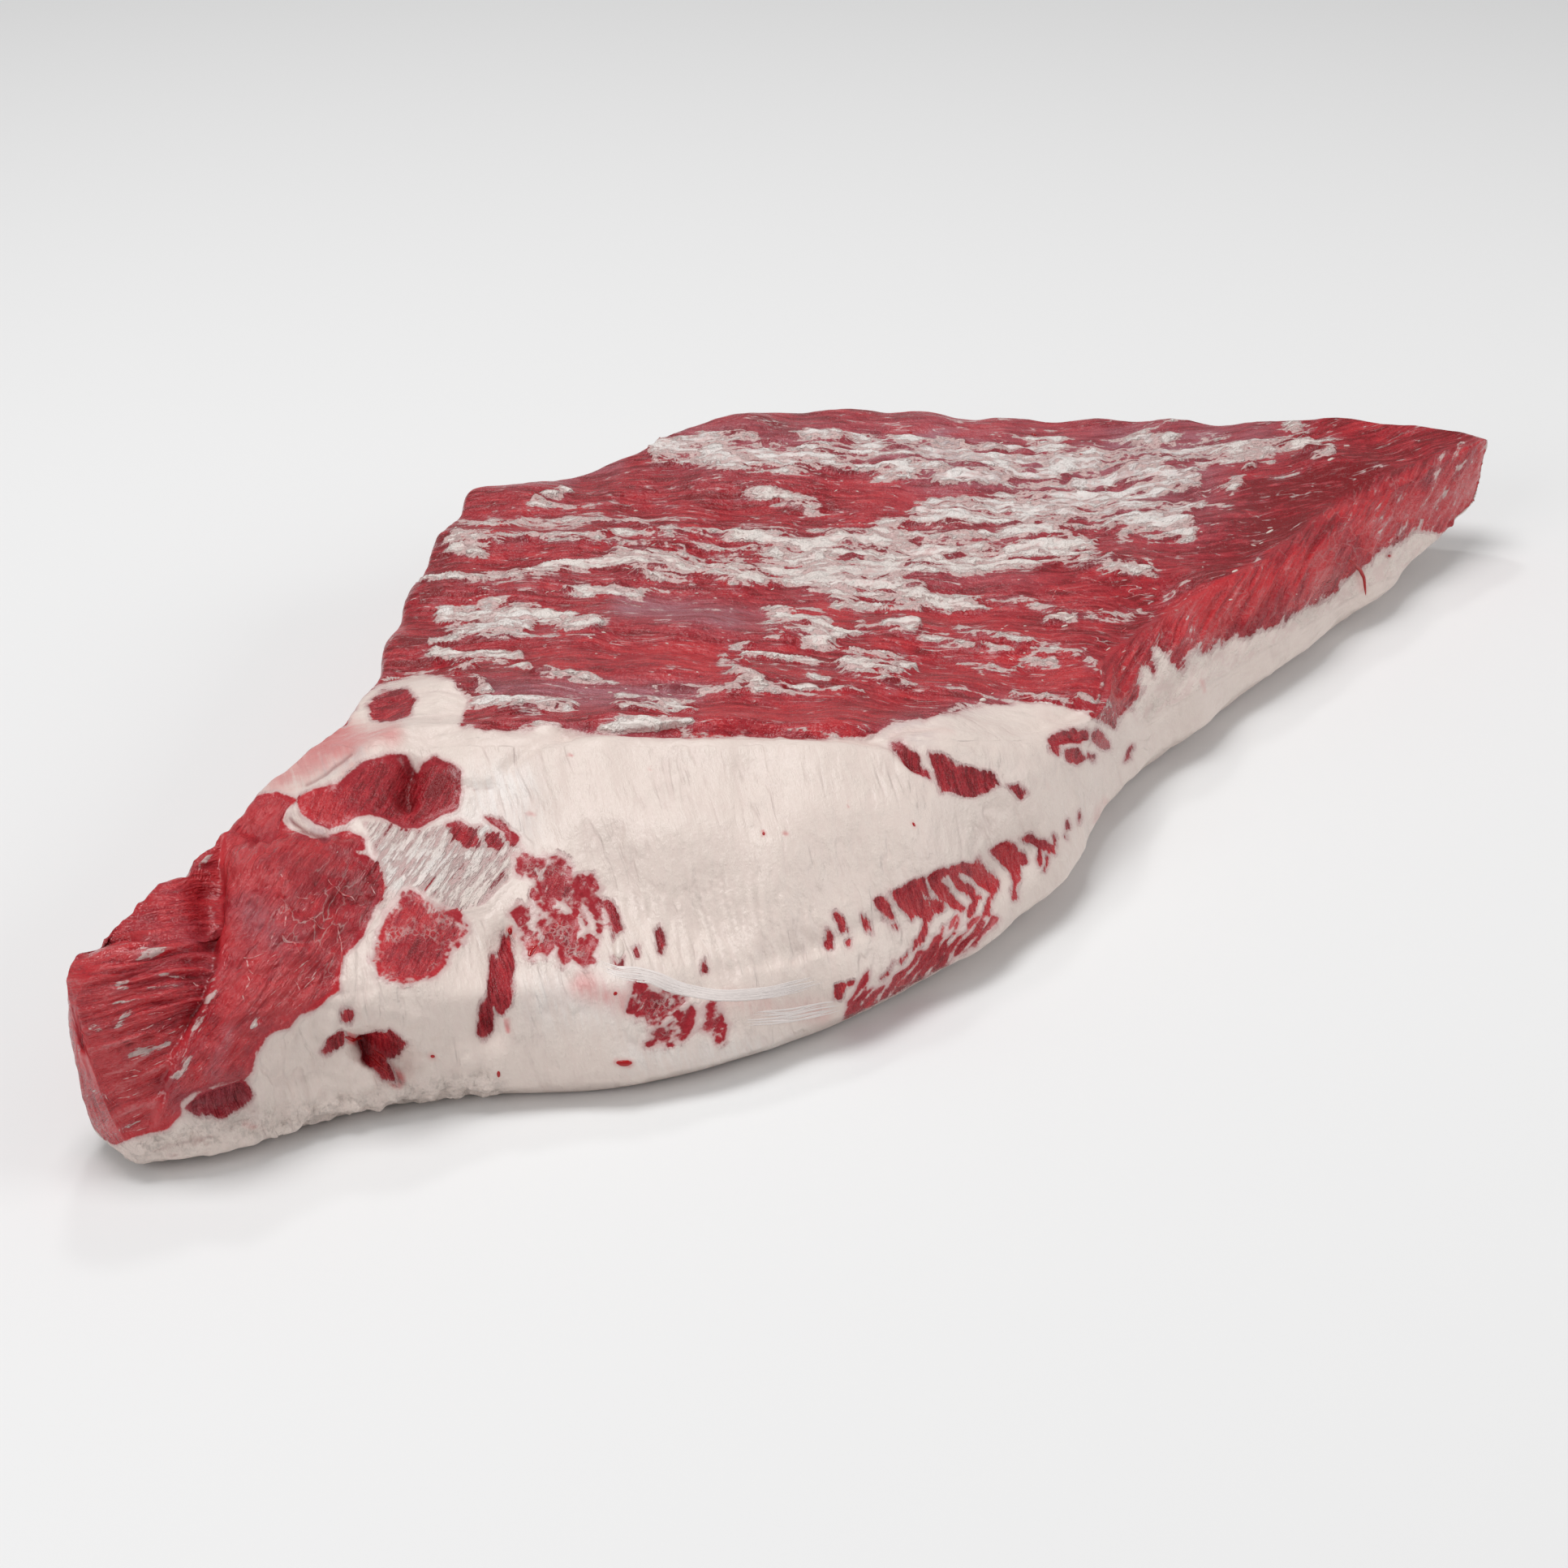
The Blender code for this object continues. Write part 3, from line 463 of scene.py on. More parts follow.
# Silverskin over the lean: a band, half its width, and how much of the lean it veils
SILVERSKIN = (
    (300, 1115, 345, 1160, 20, 0.3), (235, 1150, 262, 1190, 16, 0.25), (282, 1270, 262, 1320, 10, 0.35),
    (1180, 575, 1450, 600, 62, 0.75), (850, 545, 1150, 550, 34, 0.6), (770, 742, 950, 762, 16, 0.55),
    (600, 846, 860, 852, 13, 0.7), (700, 864, 830, 862, 9, 0.5), (560, 592, 700, 588, 9, 0.4),
    (1380, 545, 1560, 540, 30, 0.55), (760, 572, 700, 580, 12, 0.5), (900, 765, 760, 745, 14, 0.4),
    (360, 1006, 402, 1026, 6, 0.8), (1000, 700, 1250, 690, 40, 0.35), (1090, 900, 1140, 910, 12, 0.5),
    (700, 895, 840, 905, 6, 0.5), (230, 1362, 300, 1350, 22, 0.35), (400, 940, 440, 928, 12, 0.5),
    (1240, 860, 1110, 890, 12, 0.4),
)
# Blood in the fat: a band, half its width, and how much it stains
STAINS = (
    (345, 955, 400, 915, 34, 0.5), (400, 905, 480, 905, 22, 0.45), (440, 955, 420, 990, 18, 0.5),
    (480, 1100, 470, 1190, 12, 0.25), (900, 1235, 1010, 1245, 26, 0.3),
    (720, 1215, 765, 1235, 26, 0.45), (1100, 905, 1170, 900, 14, 0.2), (1290, 900, 1350, 930, 46, 0.15),
    (1700, 620, 1780, 640, 24, 0.35), (1672, 700, 1680, 725, 9, 0.4), (531, 1302, 533, 1303, 7, 0.4),
    (613, 1318, 614, 1328, 6, 0.3), (624, 1256, 626, 1270, 4, 0.6), (759, 1309, 775, 1310, 7, 0.5),
    (1124, 1013, 1127, 1018, 5, 0.4), (940, 1025, 941, 1029, 3, 0.9), (965, 1026, 969, 1027, 4, 0.5),
    (1044, 988, 1045, 998, 2, 0.6), (800, 945, 801, 949, 3, 0.5), (650, 1002, 658, 1004, 4, 0.4),
    (700, 930, 704, 931, 3, 0.5), (1710, 684, 1712, 684, 4, 0.9), (1722, 660, 1723, 664, 4, 0.9),
    (1480, 840, 1483, 852, 5, 0.4), (1400, 770, 1460, 800, 14, 0.3), (425, 1278, 452, 1286, 6, 1.3),
    (460, 1300, 488, 1330, 9, 1.2), (628, 1146, 630, 1152, 5, 1.2), (1360, 990, 1350, 1010, 12, 0.25),
    (300, 1385, 310, 1388, 7, 0.35),
)
GREY_FAT = (
    (820, 545, 1100, 552, 30, 0.8), (1150, 590, 1450, 600, 60, 0.6), (600, 865, 720, 868, 18, 0.6),
    (530, 1060, 620, 1010, 46, 0.8), (480, 1090, 470, 1040, 20, 0.6), (680, 1230, 760, 1230, 40, 0.6),
    (590, 965, 640, 960, 22, 0.5), (560, 760, 640, 762, 22, 0.5), (780, 1300, 1000, 1295, 22, 0.5),
)
# Grooves and hollows, in photo pixels: line, half its width, depth in millimetres, and darkness, the
# painted shade put in their colour
GROOVES_AND_PAINTED_SHADE = (
    (((350, 1098), (362, 1112), (380, 1124), (396, 1140)), 3.0, 0.8, 0.4),
    (((404, 1086), (424, 1100), (440, 1106)), 3.0, 0.6, 0.25),
    (((421, 1140), (424, 1170), (421, 1200)), 3.0, 0.6, 0.25),
    (((205, 1278), (225, 1268), (238, 1258)), 3.0, 0.6, 0.45),
    (((318, 1090), (340, 1088), (352, 1096)), 3.0, 0.6, 0.3),
    (((508, 948), (502, 965), (505, 992)), 3.2, 1.2, 0.85),
    (((355, 1008), (372, 1020), (402, 1030)), 4.0, 0.8, 0.7),
    (((447, 1286), (453, 1300), (449, 1306)), 8.0, 1.8, 0.95),
    (((428, 1277), (450, 1286)), 4.0, 0.8, 0.3),
    (((270, 1065), (271, 1100), (268, 1150), (262, 1190), (248, 1235), (237, 1252)), 4.0, 0.9, 0.65),
    (((240, 1252), (212, 1300), (203, 1325), (200, 1345)), 3.0, 0.8, 0.3),
    (((103, 1170), (120, 1160), (142, 1155), (190, 1152)), 4.0, 0.6, 0.4),
    (((222, 1356), (240, 1347), (272, 1337), (305, 1333)), 3.5, 1.0, 0.5),
    (((430, 925), (410, 940), (395, 952), (375, 962)), 3.0, 1.2, 0.5),
    (((570, 966), (590, 972), (604, 968)), 2.5, 1.0, 0.4),
    (((1152, 1080), (1148, 1098)), 2.0, 0.6, 0.5),
    (((1361, 803), (1363, 838), (1354, 862), (1347, 884)), 2.4, 0.6, 0.5),
    (((1379, 836), (1384, 858), (1383, 868)), 1.8, 0.3, 0.4),
    (((1354, 862), (1368, 869), (1368, 886)), 1.8, 0.3, 0.4),
    (((1350, 893), (1348, 908), (1342, 920)), 2.0, 0.3, 0.35),
    (((1383, 800), (1382, 822), (1390, 834)), 1.8, 0.3, 0.3),
    (((1340, 800), (1370, 792), (1400, 777)), 3.0, 0.8, 0.3),
    (((690, 900), (760, 897), (850, 901), (950, 901), (1050, 905), (1100, 918), (1130, 944)), 3.0, 1.6,
     0.3),
    (((625, 945), (640, 930), (668, 912), (700, 905)), 3.0, 1.2, 0.15),
    (((195, 1418), (235, 1408), (262, 1402)), 3.0, 0.8, 0.35),
    (((300, 1400), (330, 1392), (345, 1385)), 2.0, 0.6, 0.2),
)

# Sinew: the upper and the lower line of a band in photo pixels, how many strands it has, and their
# share of the sinew width
SINEWS = (
    (((733, 1183), (760, 1191), (787, 1192), (813, 1200), (845, 1214), (880, 1221), (907, 1221),
      (947, 1217), (973, 1210), (1013, 1201)),
     ((738, 1197), (765, 1207), (798, 1210), (822, 1221), (848, 1228), (880, 1233), (910, 1233),
      (950, 1229), (980, 1223), (1014, 1213)),
     26, 1.0),
    (((915, 1248), (973, 1244), (1037, 1231)), ((918, 1264), (975, 1260), (1038, 1244)), 9, 0.7),
)
BEAD = ((762, 1156), (762, 1181))

# Fine white lines on the lean, those on the point end partly white strands and partly painted glints: half
# their width, then the line, in photo pixels
VEINS_AND_GLINTS = (
    (1.4, (355, 1112), (352, 1125), (350, 1140), (346, 1150), (350, 1158), (358, 1160)),
    (1.5, (338, 1148), (333, 1156)),
    (1.8, (346, 1150), (352, 1157), (362, 1160), (364, 1172), (368, 1178)),
    (1.0, (452, 1085), (462, 1100)),
    (1.8, (404, 1082), (408, 1090), (416, 1095), (424, 1098), (434, 1100), (438, 1107)),
    (1.5, (417, 1138), (418, 1150), (420, 1165), (421, 1178), (420, 1195), (417, 1205), (410, 1210)),
    (0.9, (363, 1100), (370, 1103), (380, 1104), (388, 1100), (393, 1096)),
    (0.9, (374, 1118), (382, 1111), (388, 1107)),
    (1.0, (380, 1128), (388, 1134), (396, 1141), (404, 1145)),
    (0.9, (325, 1193), (331, 1180), (340, 1173)), (0.8, (290, 1182), (310, 1178), (325, 1172)),
    (1.6, (303, 1182), (305, 1193), (311, 1198)),
    (1.6, (304, 1200), (307, 1210), (302, 1218), (298, 1226), (300, 1232)),
    (1.2, (362, 1197), (372, 1188), (378, 1183)), (1.0, (384, 1205), (389, 1197), (396, 1190)),
    (1.2, (374, 1218), (380, 1211), (388, 1203)), (1.0, (361, 1205), (369, 1213)),
    (0.8, (366, 1210), (370, 1220)), (0.8, (330, 1228), (340, 1219), (350, 1213)),
    (0.8, (325, 1250), (340, 1240), (355, 1228)), (0.8, (360, 1245), (372, 1235)),
    (1.2, (345, 1075), (350, 1082)), (1.6, (387, 1066), (390, 1068)),
    (0.8, (340, 1131), (346, 1122), (350, 1113)), (1.0, (440, 1112), (450, 1119)),
    (1.6, (1296, 745), (1310, 749), (1325, 752), (1345, 753), (1365, 751)),
    (1.2, (1120, 776), (1140, 772), (1170, 776)),
    (1.0, (1200, 774), (1215, 774), (1228, 778), (1240, 779), (1260, 784), (1280, 787), (1300, 790),
     (1320, 793)),
    (1.4, (1180, 789), (1190, 780), (1205, 773)),
    (1.4, (1240, 806), (1255, 814), (1270, 817), (1280, 814)),
    (2.8, (1276, 815), (1292, 811), (1312, 810)), (1.4, (1322, 862), (1332, 856), (1342, 855)),
    (2.0, (1238, 855), (1245, 859), (1260, 860), (1280, 857), (1300, 858), (1315, 858), (1322, 862)),
    (1.4, (1150, 829), (1165, 832), (1180, 838), (1200, 841)),
    (1.2, (1298, 723), (1325, 731), (1340, 736), (1372, 735)),
    (1.2, (1327, 711), (1340, 712), (1358, 716)), (0.9, (1295, 740), (1300, 728), (1305, 722)),
    (0.9, (1260, 733), (1280, 737), (1298, 738)), (0.9, (1335, 760), (1360, 767), (1370, 766)),
    (1.2, (1380, 778), (1388, 772), (1400, 768)), (0.9, (1385, 738), (1400, 733), (1420, 729)),
    (1.2, (1335, 802), (1345, 815), (1355, 820), (1362, 830)),
    (1.0, (1385, 800), (1383, 815), (1385, 830), (1392, 836)), (1.0, (1396, 800), (1400, 815)),
    (1.4, (1105, 845), (1125, 848), (1165, 852)), (1.0, (1100, 866), (1160, 864)),
    # From here, on the point end: partly fine white strands, partly painted glints on the wet fibres
    (1.0, (190, 1194), (200, 1191), (208, 1191)), (1.4, (186, 1201), (195, 1201), (213, 1203)),
    (1.2, (220, 1202), (226, 1204)), (1.8, (238, 1208), (242, 1212), (248, 1213)),
    (1.2, (240, 1229), (246, 1236)), (1.0, (188, 1224), (198, 1223)),
    (1.2, (180, 1250), (192, 1247), (200, 1247)), (1.0, (200, 1259), (212, 1255)),
    (1.4, (168, 1270), (178, 1268), (188, 1263)), (1.4, (206, 1275), (216, 1270), (226, 1263)),
    (1.0, (192, 1273), (202, 1264)), (1.2, (231, 1280), (228, 1295), (222, 1305)),
    (1.2, (237, 1279), (234, 1290)), (0.9, (112, 1177), (120, 1170)), (0.9, (128, 1164), (137, 1160)),
    (0.9, (164, 1183), (176, 1180)), (1.2, (150, 1320), (165, 1318), (172, 1321)),
    (1.2, (150, 1330), (160, 1327), (172, 1324)), (1.0, (160, 1306), (170, 1303)),
    (1.0, (178, 1318), (190, 1312), (204, 1306)), (1.2, (180, 1300), (192, 1293), (206, 1289)),
    (1.2, (140, 1346), (152, 1345), (160, 1342)), (1.4, (142, 1354), (158, 1352), (172, 1346)),
    (1.4, (138, 1358), (142, 1364)), (1.2, (160, 1378), (172, 1372), (180, 1367)),
    (1.4, (150, 1396), (166, 1393), (182, 1389)), (1.0, (118, 1348), (122, 1356)),
    (1.0, (128, 1348), (133, 1356)), (1.0, (240, 1318), (250, 1308), (258, 1303)),
    (1.0, (238, 1322), (248, 1316)), (0.8, (270, 1215), (278, 1205)), (0.8, (150, 1190), (162, 1188)),
)

# Crumbs of fat in photo pixels: middle, reach and half width; then areas with more of them: box and
# how many
CRUMBS = (
    (612, 739, 6, 2.6), (616, 742, 3, 2.0), (1211, 862, 4, 3.4), (1310, 758, 8, 2.6),
    (1302, 763, 7, 2.2), (1319, 764, 6, 2.4), (1312, 770, 4, 1.8), (1640, 565, 4, 2.4),
    (1522, 703, 4, 2.2), (1565, 653, 5, 2.0), (1660, 548, 4, 1.8), (1392, 612, 4, 1.8),
)
CRUMB_AREAS = (
    (560, 600, 1000, 860, 60), (1000, 520, 1450, 760, 60), (1150, 760, 1400, 860, 14),
    (1400, 640, 1640, 760, 10),
)
# Blood: half width and line, in photo pixels
BLOOD = (
    (3.0, (1662, 689), (1669, 694), (1675, 701), (1680, 712), (1682, 733)),
    (3.4, (759, 1309), (768, 1310), (778, 1309)), (2.6, (627, 1143), (629, 1151)),
    (3.0, (651, 1178), (655, 1169), (661, 1163)), (2.2, (530, 1302), (535, 1303)),
    (2.0, (613, 1319), (614, 1327)), (1.8, (1124, 1013), (1127, 1018)), (1.6, (940, 1025), (941, 1029)),
    (2.0, (1710, 684), (1713, 685)), (2.0, (1722, 660), (1723, 665)),
    (2.6, (425, 1279), (438, 1283), (450, 1287)), (2.4, (756, 1223), (759, 1226)),
    (2.0, (1271, 534), (1277, 536)), (2.2, (1118, 531), (1124, 532)), (1.8, (1330, 560), (1334, 562)),
    (1.6, (456, 1302), (468, 1314), (480, 1324)), (1.4, (460, 1296), (476, 1306)),
)


def length(name, description, millimetres, most, least=0.0):
    """A length setting whose default and limits are given in millimetres."""
    return bpy.props.FloatProperty(name=name, description=description, default=millimetres * MILLI,
                                   min=least * MILLI, max=most * MILLI, unit="LENGTH")


class BrisketSizes(bpy.types.PropertyGroup):
    """Heights and widths of the fine relief."""
    fat_step: length("Fat step", "How far fat stands over the lean beside it", 0.8, 3)
    streak_height: length("Streak height", "Height of the lumps on the streaks of fat", 1.3, 3)
    fibre_height: length("Fibre height", "Height of the bundles of muscle fibre", 0.42, 2)
    wrinkle_height: length("Wrinkle height", "Height of the wrinkles at the foot of the kernel fat", 0.6, 2)
    crumb_height: length("Crumb height", "Height of the crumbly rim of fat at the point end", 1.6, 3)
    strand_width: length("Sinew width", "Width of a strand of sinew", 0.34, 4, 0.1)


def colour(name, description, value):
    """A colour setting without its alpha."""
    return bpy.props.FloatVectorProperty(name=name, description=description, subtype="COLOR",
                                         size=3, min=0.0, max=1.0, default=value)


class BrisketColours(bpy.types.PropertyGroup):
    """Colours of the meat, the fat and the floor."""
    lean: colour("Lean", "Middle tone of the red meat", (0.34, 0.014, 0.023))
    # Also the colour of the painted shade in grooves and in the troughs of the waves on the point end
    dark_lean_and_shade: colour("Dark lean and shade", "Red meat in folds and along dry edges", (0.20, 0.006, 0.010))
    bright_lean: colour("Bright lean", "Fresh cut red meat", (0.49, 0.025, 0.032))
    pale_lean: colour("Pale lean", "Red meat with fine fat in it", (0.58, 0.17, 0.175))
    fat: colour("Fat", "Cream white fat", (0.75, 0.64, 0.58))
    # Also the colour of the painted shade in the hollows and pleats of the fat
    thin_fat_and_shade: colour("Thin fat and shade", "Edge of a streak of fat, where lean shows through", (0.60, 0.42, 0.40))
    grey_fat: colour("Grey fat", "Fat under thin silvery skin", (0.80, 0.75, 0.72))
    misted_fat: colour("Misted Fat", "Fat seen through silverskin", (0.46, 0.36, 0.38))
    pink_fat: colour("Pink fat", "Fat stained by blood", (0.62, 0.24, 0.23))
    silverskin: colour("Silverskin", "Thin skin over the lean", (0.34, 0.15, 0.18))
    # The point end's lines in this colour are partly painted glints
    vein_and_glint: colour("Vein and glint", "Fine white lines on the lean", (0.62, 0.34, 0.33))
    sinew: colour("Sinew", "Silvery white strands of sinew", (0.80, 0.72, 0.69))
    blood: colour("Blood", "Wet blood in spots and drips", (0.42, 0.006, 0.008))
    floor: colour("Floor", "The pale floor", (0.80, 0.80, 0.80))


def smooth_curve(knots, places):
    """Cubic through the knots: straight ends, level at each turn, and never past a knot's height."""
    knots = np.array(knots, float)
    steps = np.diff(knots[:, 0])
    slopes = np.diff(knots[:, 1]) / steps
    tangents = np.concatenate([slopes[:1], (slopes[:-1] + slopes[1:]) / 2, slopes[-1:]])
    turning = np.concatenate([[False], slopes[:-1] * slopes[1:] <= 0, [False]])
    tangents[turning] = 0.0
    limit = 3 * np.minimum(np.abs(np.append(slopes, slopes[-1])), np.abs(np.append(slopes[0], slopes)))
    tangents = np.clip(tangents, -limit, limit)
    span = np.clip(np.searchsorted(knots[:, 0], places, side="right") - 1, 0, len(steps) - 1)
    share = (places - knots[span, 0]) / steps[span]
    start, end = knots[span, 1], knots[span + 1, 1]
    rise = (share ** 2) * (3 - 2 * share)
    leave = share * (1 - share) ** 2 * steps[span] * tangents[span]
    arrive = share ** 2 * (share - 1) * steps[span] * tangents[span + 1]
    return start + (end - start) * rise + leave + arrive


def section_corners(places):
    """The twelve (y, z) corners of the closed section at each place along the length."""
    near_y, bend_y, ridge_y, far_y = (smooth_curve(knots, places) for knots in
                                      (NEAR_BULGE_Y, BEND_Y, RIDGE_Y, FAR_EDGE_Y))
    floor, near_z, bend_z, ridge_z, far_z = (smooth_curve(knots, places) for knots in
                                             (FLOOR_Z, NEAR_BULGE_Z, BEND_Z, RIDGE_Z, FAR_EDGE_Z))
    narrow = CORNER_SHARE * (far_y - near_y)
    shoulder = np.minimum(FAR_SHOULDER, narrow / 2)
    middle = (near_y + far_y) / 2
    corners = (
        (middle, floor),
        (near_y + np.minimum(NEAR_CORNER, narrow), floor),
        (near_y, near_z),
        (bend_y, bend_z),
        (bend_y + (ridge_y - bend_y) * SLOPE_BELLY[0], bend_z + (ridge_z - bend_z) * SLOPE_BELLY[1]),
        (ridge_y, ridge_z),
        (ridge_y + (far_y - ridge_y) * TOP_SAG[0], ridge_z + (far_z - ridge_z) * TOP_SAG[1]),
        (far_y - shoulder, far_z),
        (far_y, far_z * FAR_WAIST),
        (far_y - shoulder, floor + FAR_LIP),
        (far_y - np.minimum(FAR_CORNER, narrow), floor),
        (middle, floor),
    )
    return np.stack([np.stack(corner, axis=-1) for corner in corners], axis=1)


def rounded_sections(places, around):
    """Each section's (y, z) at the given places around its girth, its corners rounded by a blur."""
    fine = 2048
    even = np.arange(fine) / fine
    outline = np.array([[np.interp(even, CORNER_PLACES, corners[:, axis]) for axis in (0, 1)]
                        for corners in section_corners(places)])
    waves_around = np.fft.rfftfreq(fine, 1 / fine)
    blur = np.exp(-2 * (np.pi * waves_around * CORNER_BLUR) ** 2)
    outline = np.fft.irfft(np.fft.rfft(outline, axis=2) * blur, fine, axis=2)
    index = np.floor(around * fine).astype(int)
    share = around * fine - index
    picked = outline[:, :, index % fine] * (1 - share) + outline[:, :, (index + 1) % fine] * share
    return np.moveaxis(picked, 1, 2)


def station_places():
    """Places of the stations, closer at the point end, and how full the rounded ends are there."""
    turn = np.linspace(0.1, np.pi / 2, NOSE_STATIONS, endpoint=False)
    fullness = np.sin(turn) ** NOSE_FULLNESS
    inset = 1 - np.cos(turn)
    even = np.linspace(0, 1, STATIONS - 2 * NOSE_STATIONS) ** POINT_END_DENSITY
    middle = NOSE_LENGTH[0] + even * (100 - sum(NOSE_LENGTH))
    places = np.concatenate([NOSE_LENGTH[0] * inset, middle, (100 - NOSE_LENGTH[1] * inset)[::-1]])
    return places, np.concatenate([fullness, np.ones_like(middle), fullness[::-1]])


def girth_places():
    """Places around the girth of all rows, with the row where each piece starts and ends."""
    rows, spans, first = [], {}, 0
    for (name, count), start, end in zip(ROWS.items(), SEAMS[:-1], SEAMS[1:]):
        rows.append(np.linspace(start, end, count)[:-1])
        spans[name] = (first, first + count - 1)
        first += count - 1
    return np.concatenate(rows), spans


def unit(vectors):
    """Vectors scaled to length one."""
    return vectors / np.maximum(np.linalg.norm(vectors, axis=-1, keepdims=True), 1e-12)


def softened(values, reaches):
    """Each value averaged with those a reach away on every side, once per reach.

    The girth closes on itself, and the ends repeat."""
    for reach in reaches:
        values = (np.roll(values, reach, axis=1) + 2 * values + np.roll(values, -reach, axis=1)) / 4
        longer = np.concatenate([values[:1]] * reach + [values] + [values[-1:]] * reach)
        values = (longer[:-2 * reach] + 2 * values + longer[2 * reach:]) / 4
    return values


def outward_normals(form):
    """Unit normals of the grid, square to its length and its girth."""
    along = np.gradient(form, axis=0)
    around = np.roll(form, -1, axis=1) - np.roll(form, 1, axis=1)
    return unit(np.cross(along, around))


def most(fields):
    """The greatest of several fields at each point."""
    return np.maximum.reduce(list(fields))


def distance_to_line(points, line):
    """Distance from each point to the nearest stretch of a line of corners, in any dimension."""
    line = np.array(line, float)
    nearest = np.linalg.norm(points - line[0], axis=-1)
    for start, end in zip(line[:-1], line[1:]):
        run = end - start
        share = np.clip((points - start) @ run / (run @ run), 0, 1)
        nearest = np.minimum(nearest, np.linalg.norm(points - start - share[..., None] * run, axis=-1))
    return nearest


def main_form(around):
    """The loft with the solid's own relief, in hundredths of the length."""
    places, fullness = station_places()
    outline = rounded_sections(places, around)
    centre = outline.mean(axis=1, keepdims=True)
    outline = centre + (outline - centre) * fullness[:, None, None]
    slant_start, slant = FLAT_END_SLANT
    growth = np.clip((places - slant_start) / (100 - slant_start), 0, 1) ** SLANT_GROWTH
    height = outline[..., 1] / outline[..., 1].max(axis=1, keepdims=True)
    along = places[:, None] - slant * growth[:, None] * (1 - height)
    form = np.concatenate([along[..., None], outline], axis=2)
    raised = np.zeros(form.shape[:2])
    for line, reach, lift in RELIEF:
        raised += lift * np.exp(-(distance_to_line(form, line) / reach) ** 2)
    for lift, across_x, across_y in WAVES:
        raised += lift * np.sin(2 * np.pi * (form[..., 0] / across_x + form[..., 1] / across_y))
    low, high = FADE_HEIGHTS
    off_the_floor = np.clip((form[..., 2] - low) / (high - low), 0, 1)
    inside_the_ends = np.clip(np.minimum(form[..., 0], 100 - form[..., 0]) / FADE_LENGTH, 0, 1)
    normals = unit(softened(outward_normals(form), (1, 2, 4, 4, 8)))
    return form + (raised * off_the_floor * inside_the_ends)[..., None] * normals


def in_the_box(form):
    """The form stretched to the solid's box, in metres."""
    low, high = form.min(axis=(0, 1)), form.max(axis=(0, 1))
    return LOW + (form - low) / (high - low) * (HIGH - LOW)


def view_axes():
    """Unit vectors of the photo's view: right, up and ahead."""
    right = np.array((math.cos(VIEW_TURN), math.sin(VIEW_TURN), 0.0))
    ahead = np.array((-math.sin(VIEW_TURN) * math.cos(VIEW_DROP),
                      math.cos(VIEW_TURN) * math.cos(VIEW_DROP), -math.sin(VIEW_DROP)))
    return right, np.cross(right, ahead), ahead


def photo_spots(points):
    """Photo pixel of each point: its place in the view over its depth, from the picture's middle."""
    right, up, ahead = view_axes()
    away = points - (np.array(VIEW_AIM) - ahead * VIEW_DISTANCE)
    depth = away @ ahead
    focal = PHOTO_SIDE * PHOTO_LENS / SENSOR
    middle = PHOTO_SIDE / 2
    return np.stack([middle + focal * (away @ right) / depth,
                     middle - focal * (away @ up) / depth], axis=-1)


def step(low, high, value):
    """0 below low, 1 above high, and a smooth rise between them."""
    share = np.clip((value - low) / (high - low), 0, 1)
    return share * share * (3 - 2 * share)


def noise(points, size, seed):
    """Gradient noise from about -1 to 1: slopes drawn per lattice corner, blended by smooth shares."""
    draw = np.random.default_rng(seed)
    slopes = draw.normal(size=(256, 3))
    slopes /= np.linalg.norm(slopes, axis=1, keepdims=True)
    order = np.concatenate([draw.permutation(256)] * 2)
    places = points / np.array(size, float)
    if places.shape[-1] == 2:
        places = np.concatenate([places, np.zeros(places.shape[:-1] + (1,))], axis=-1)
    cell = np.floor(places).astype(np.int64)
    inner = places - cell
    blend = inner ** 3 * (inner * (inner * 6 - 15) + 10)
    total = np.zeros(places.shape[:-1])
    for dx in (0, 1):
        for dy in (0, 1):
            for dz in (0, 1):
                corner = order[order[order[(cell[..., 0] + dx) & 255] + ((cell[..., 1] + dy) & 255)]
                               + ((cell[..., 2] + dz) & 255)]
                weight = 1.0
                for axis, shift in enumerate((dx, dy, dz)):
                    weight = weight * (blend[..., axis] if shift else 1 - blend[..., axis])
                total += weight * ((inner - (dx, dy, dz)) * slopes[corner]).sum(axis=-1)
    return total * 1.6


def fractal(points, size, octaves, seed):
    """Noise added to itself at half the size and half the height, octaves times."""
    size = np.array(size, float)
    return sum(noise(points, size / 2 ** turn, seed + turn) / 2 ** turn for turn in range(octaves))


def near_line(spots, line, reach):
    """Distance in pixels to a line on the photo, no more than reach."""
    line = np.array(line, float)
    close = np.all((spots > line.min(axis=0) - reach) & (spots < line.max(axis=0) + reach), axis=-1)
    distance = np.full(spots.shape[:-1], float(reach))
    distance[close] = np.minimum(distance_to_line(spots[close], line), reach)
    return distance


def inside(spots, outline, reach):
    """Distance in pixels to an outline on the photo: positive inside it, and within reach of zero."""
    outline = np.array(outline, float)
    low, high = outline.min(axis=0) - reach, outline.max(axis=0) + reach
    close = np.all((spots > low) & (spots < high), axis=-1)
    value = np.full(spots.shape[:-1], -float(reach))
    near = spots[close]
    within = np.zeros(len(near), bool)
    for (x0, y0), (x1, y1) in zip(outline, np.roll(outline, -1, axis=0)):
        if y0 != y1:
            spans = (near[:, 1] > min(y0, y1)) & (near[:, 1] <= max(y0, y1))
            within ^= spans & (near[:, 0] < x0 + (near[:, 1] - y0) * (x1 - x0) / (y1 - y0))
    edge = np.minimum(distance_to_line(near, np.vstack([outline, outline[:1]])), reach)
    value[close] = np.where(within, edge, -edge)
    return value


def from_middle(spots, oval):
    """Distance from the middle of an oval on the photo, 1 on its outline."""
    x, y, half_x, half_y = oval
    return np.linalg.norm((spots - (x, y)) / (half_x, half_y), axis=-1)


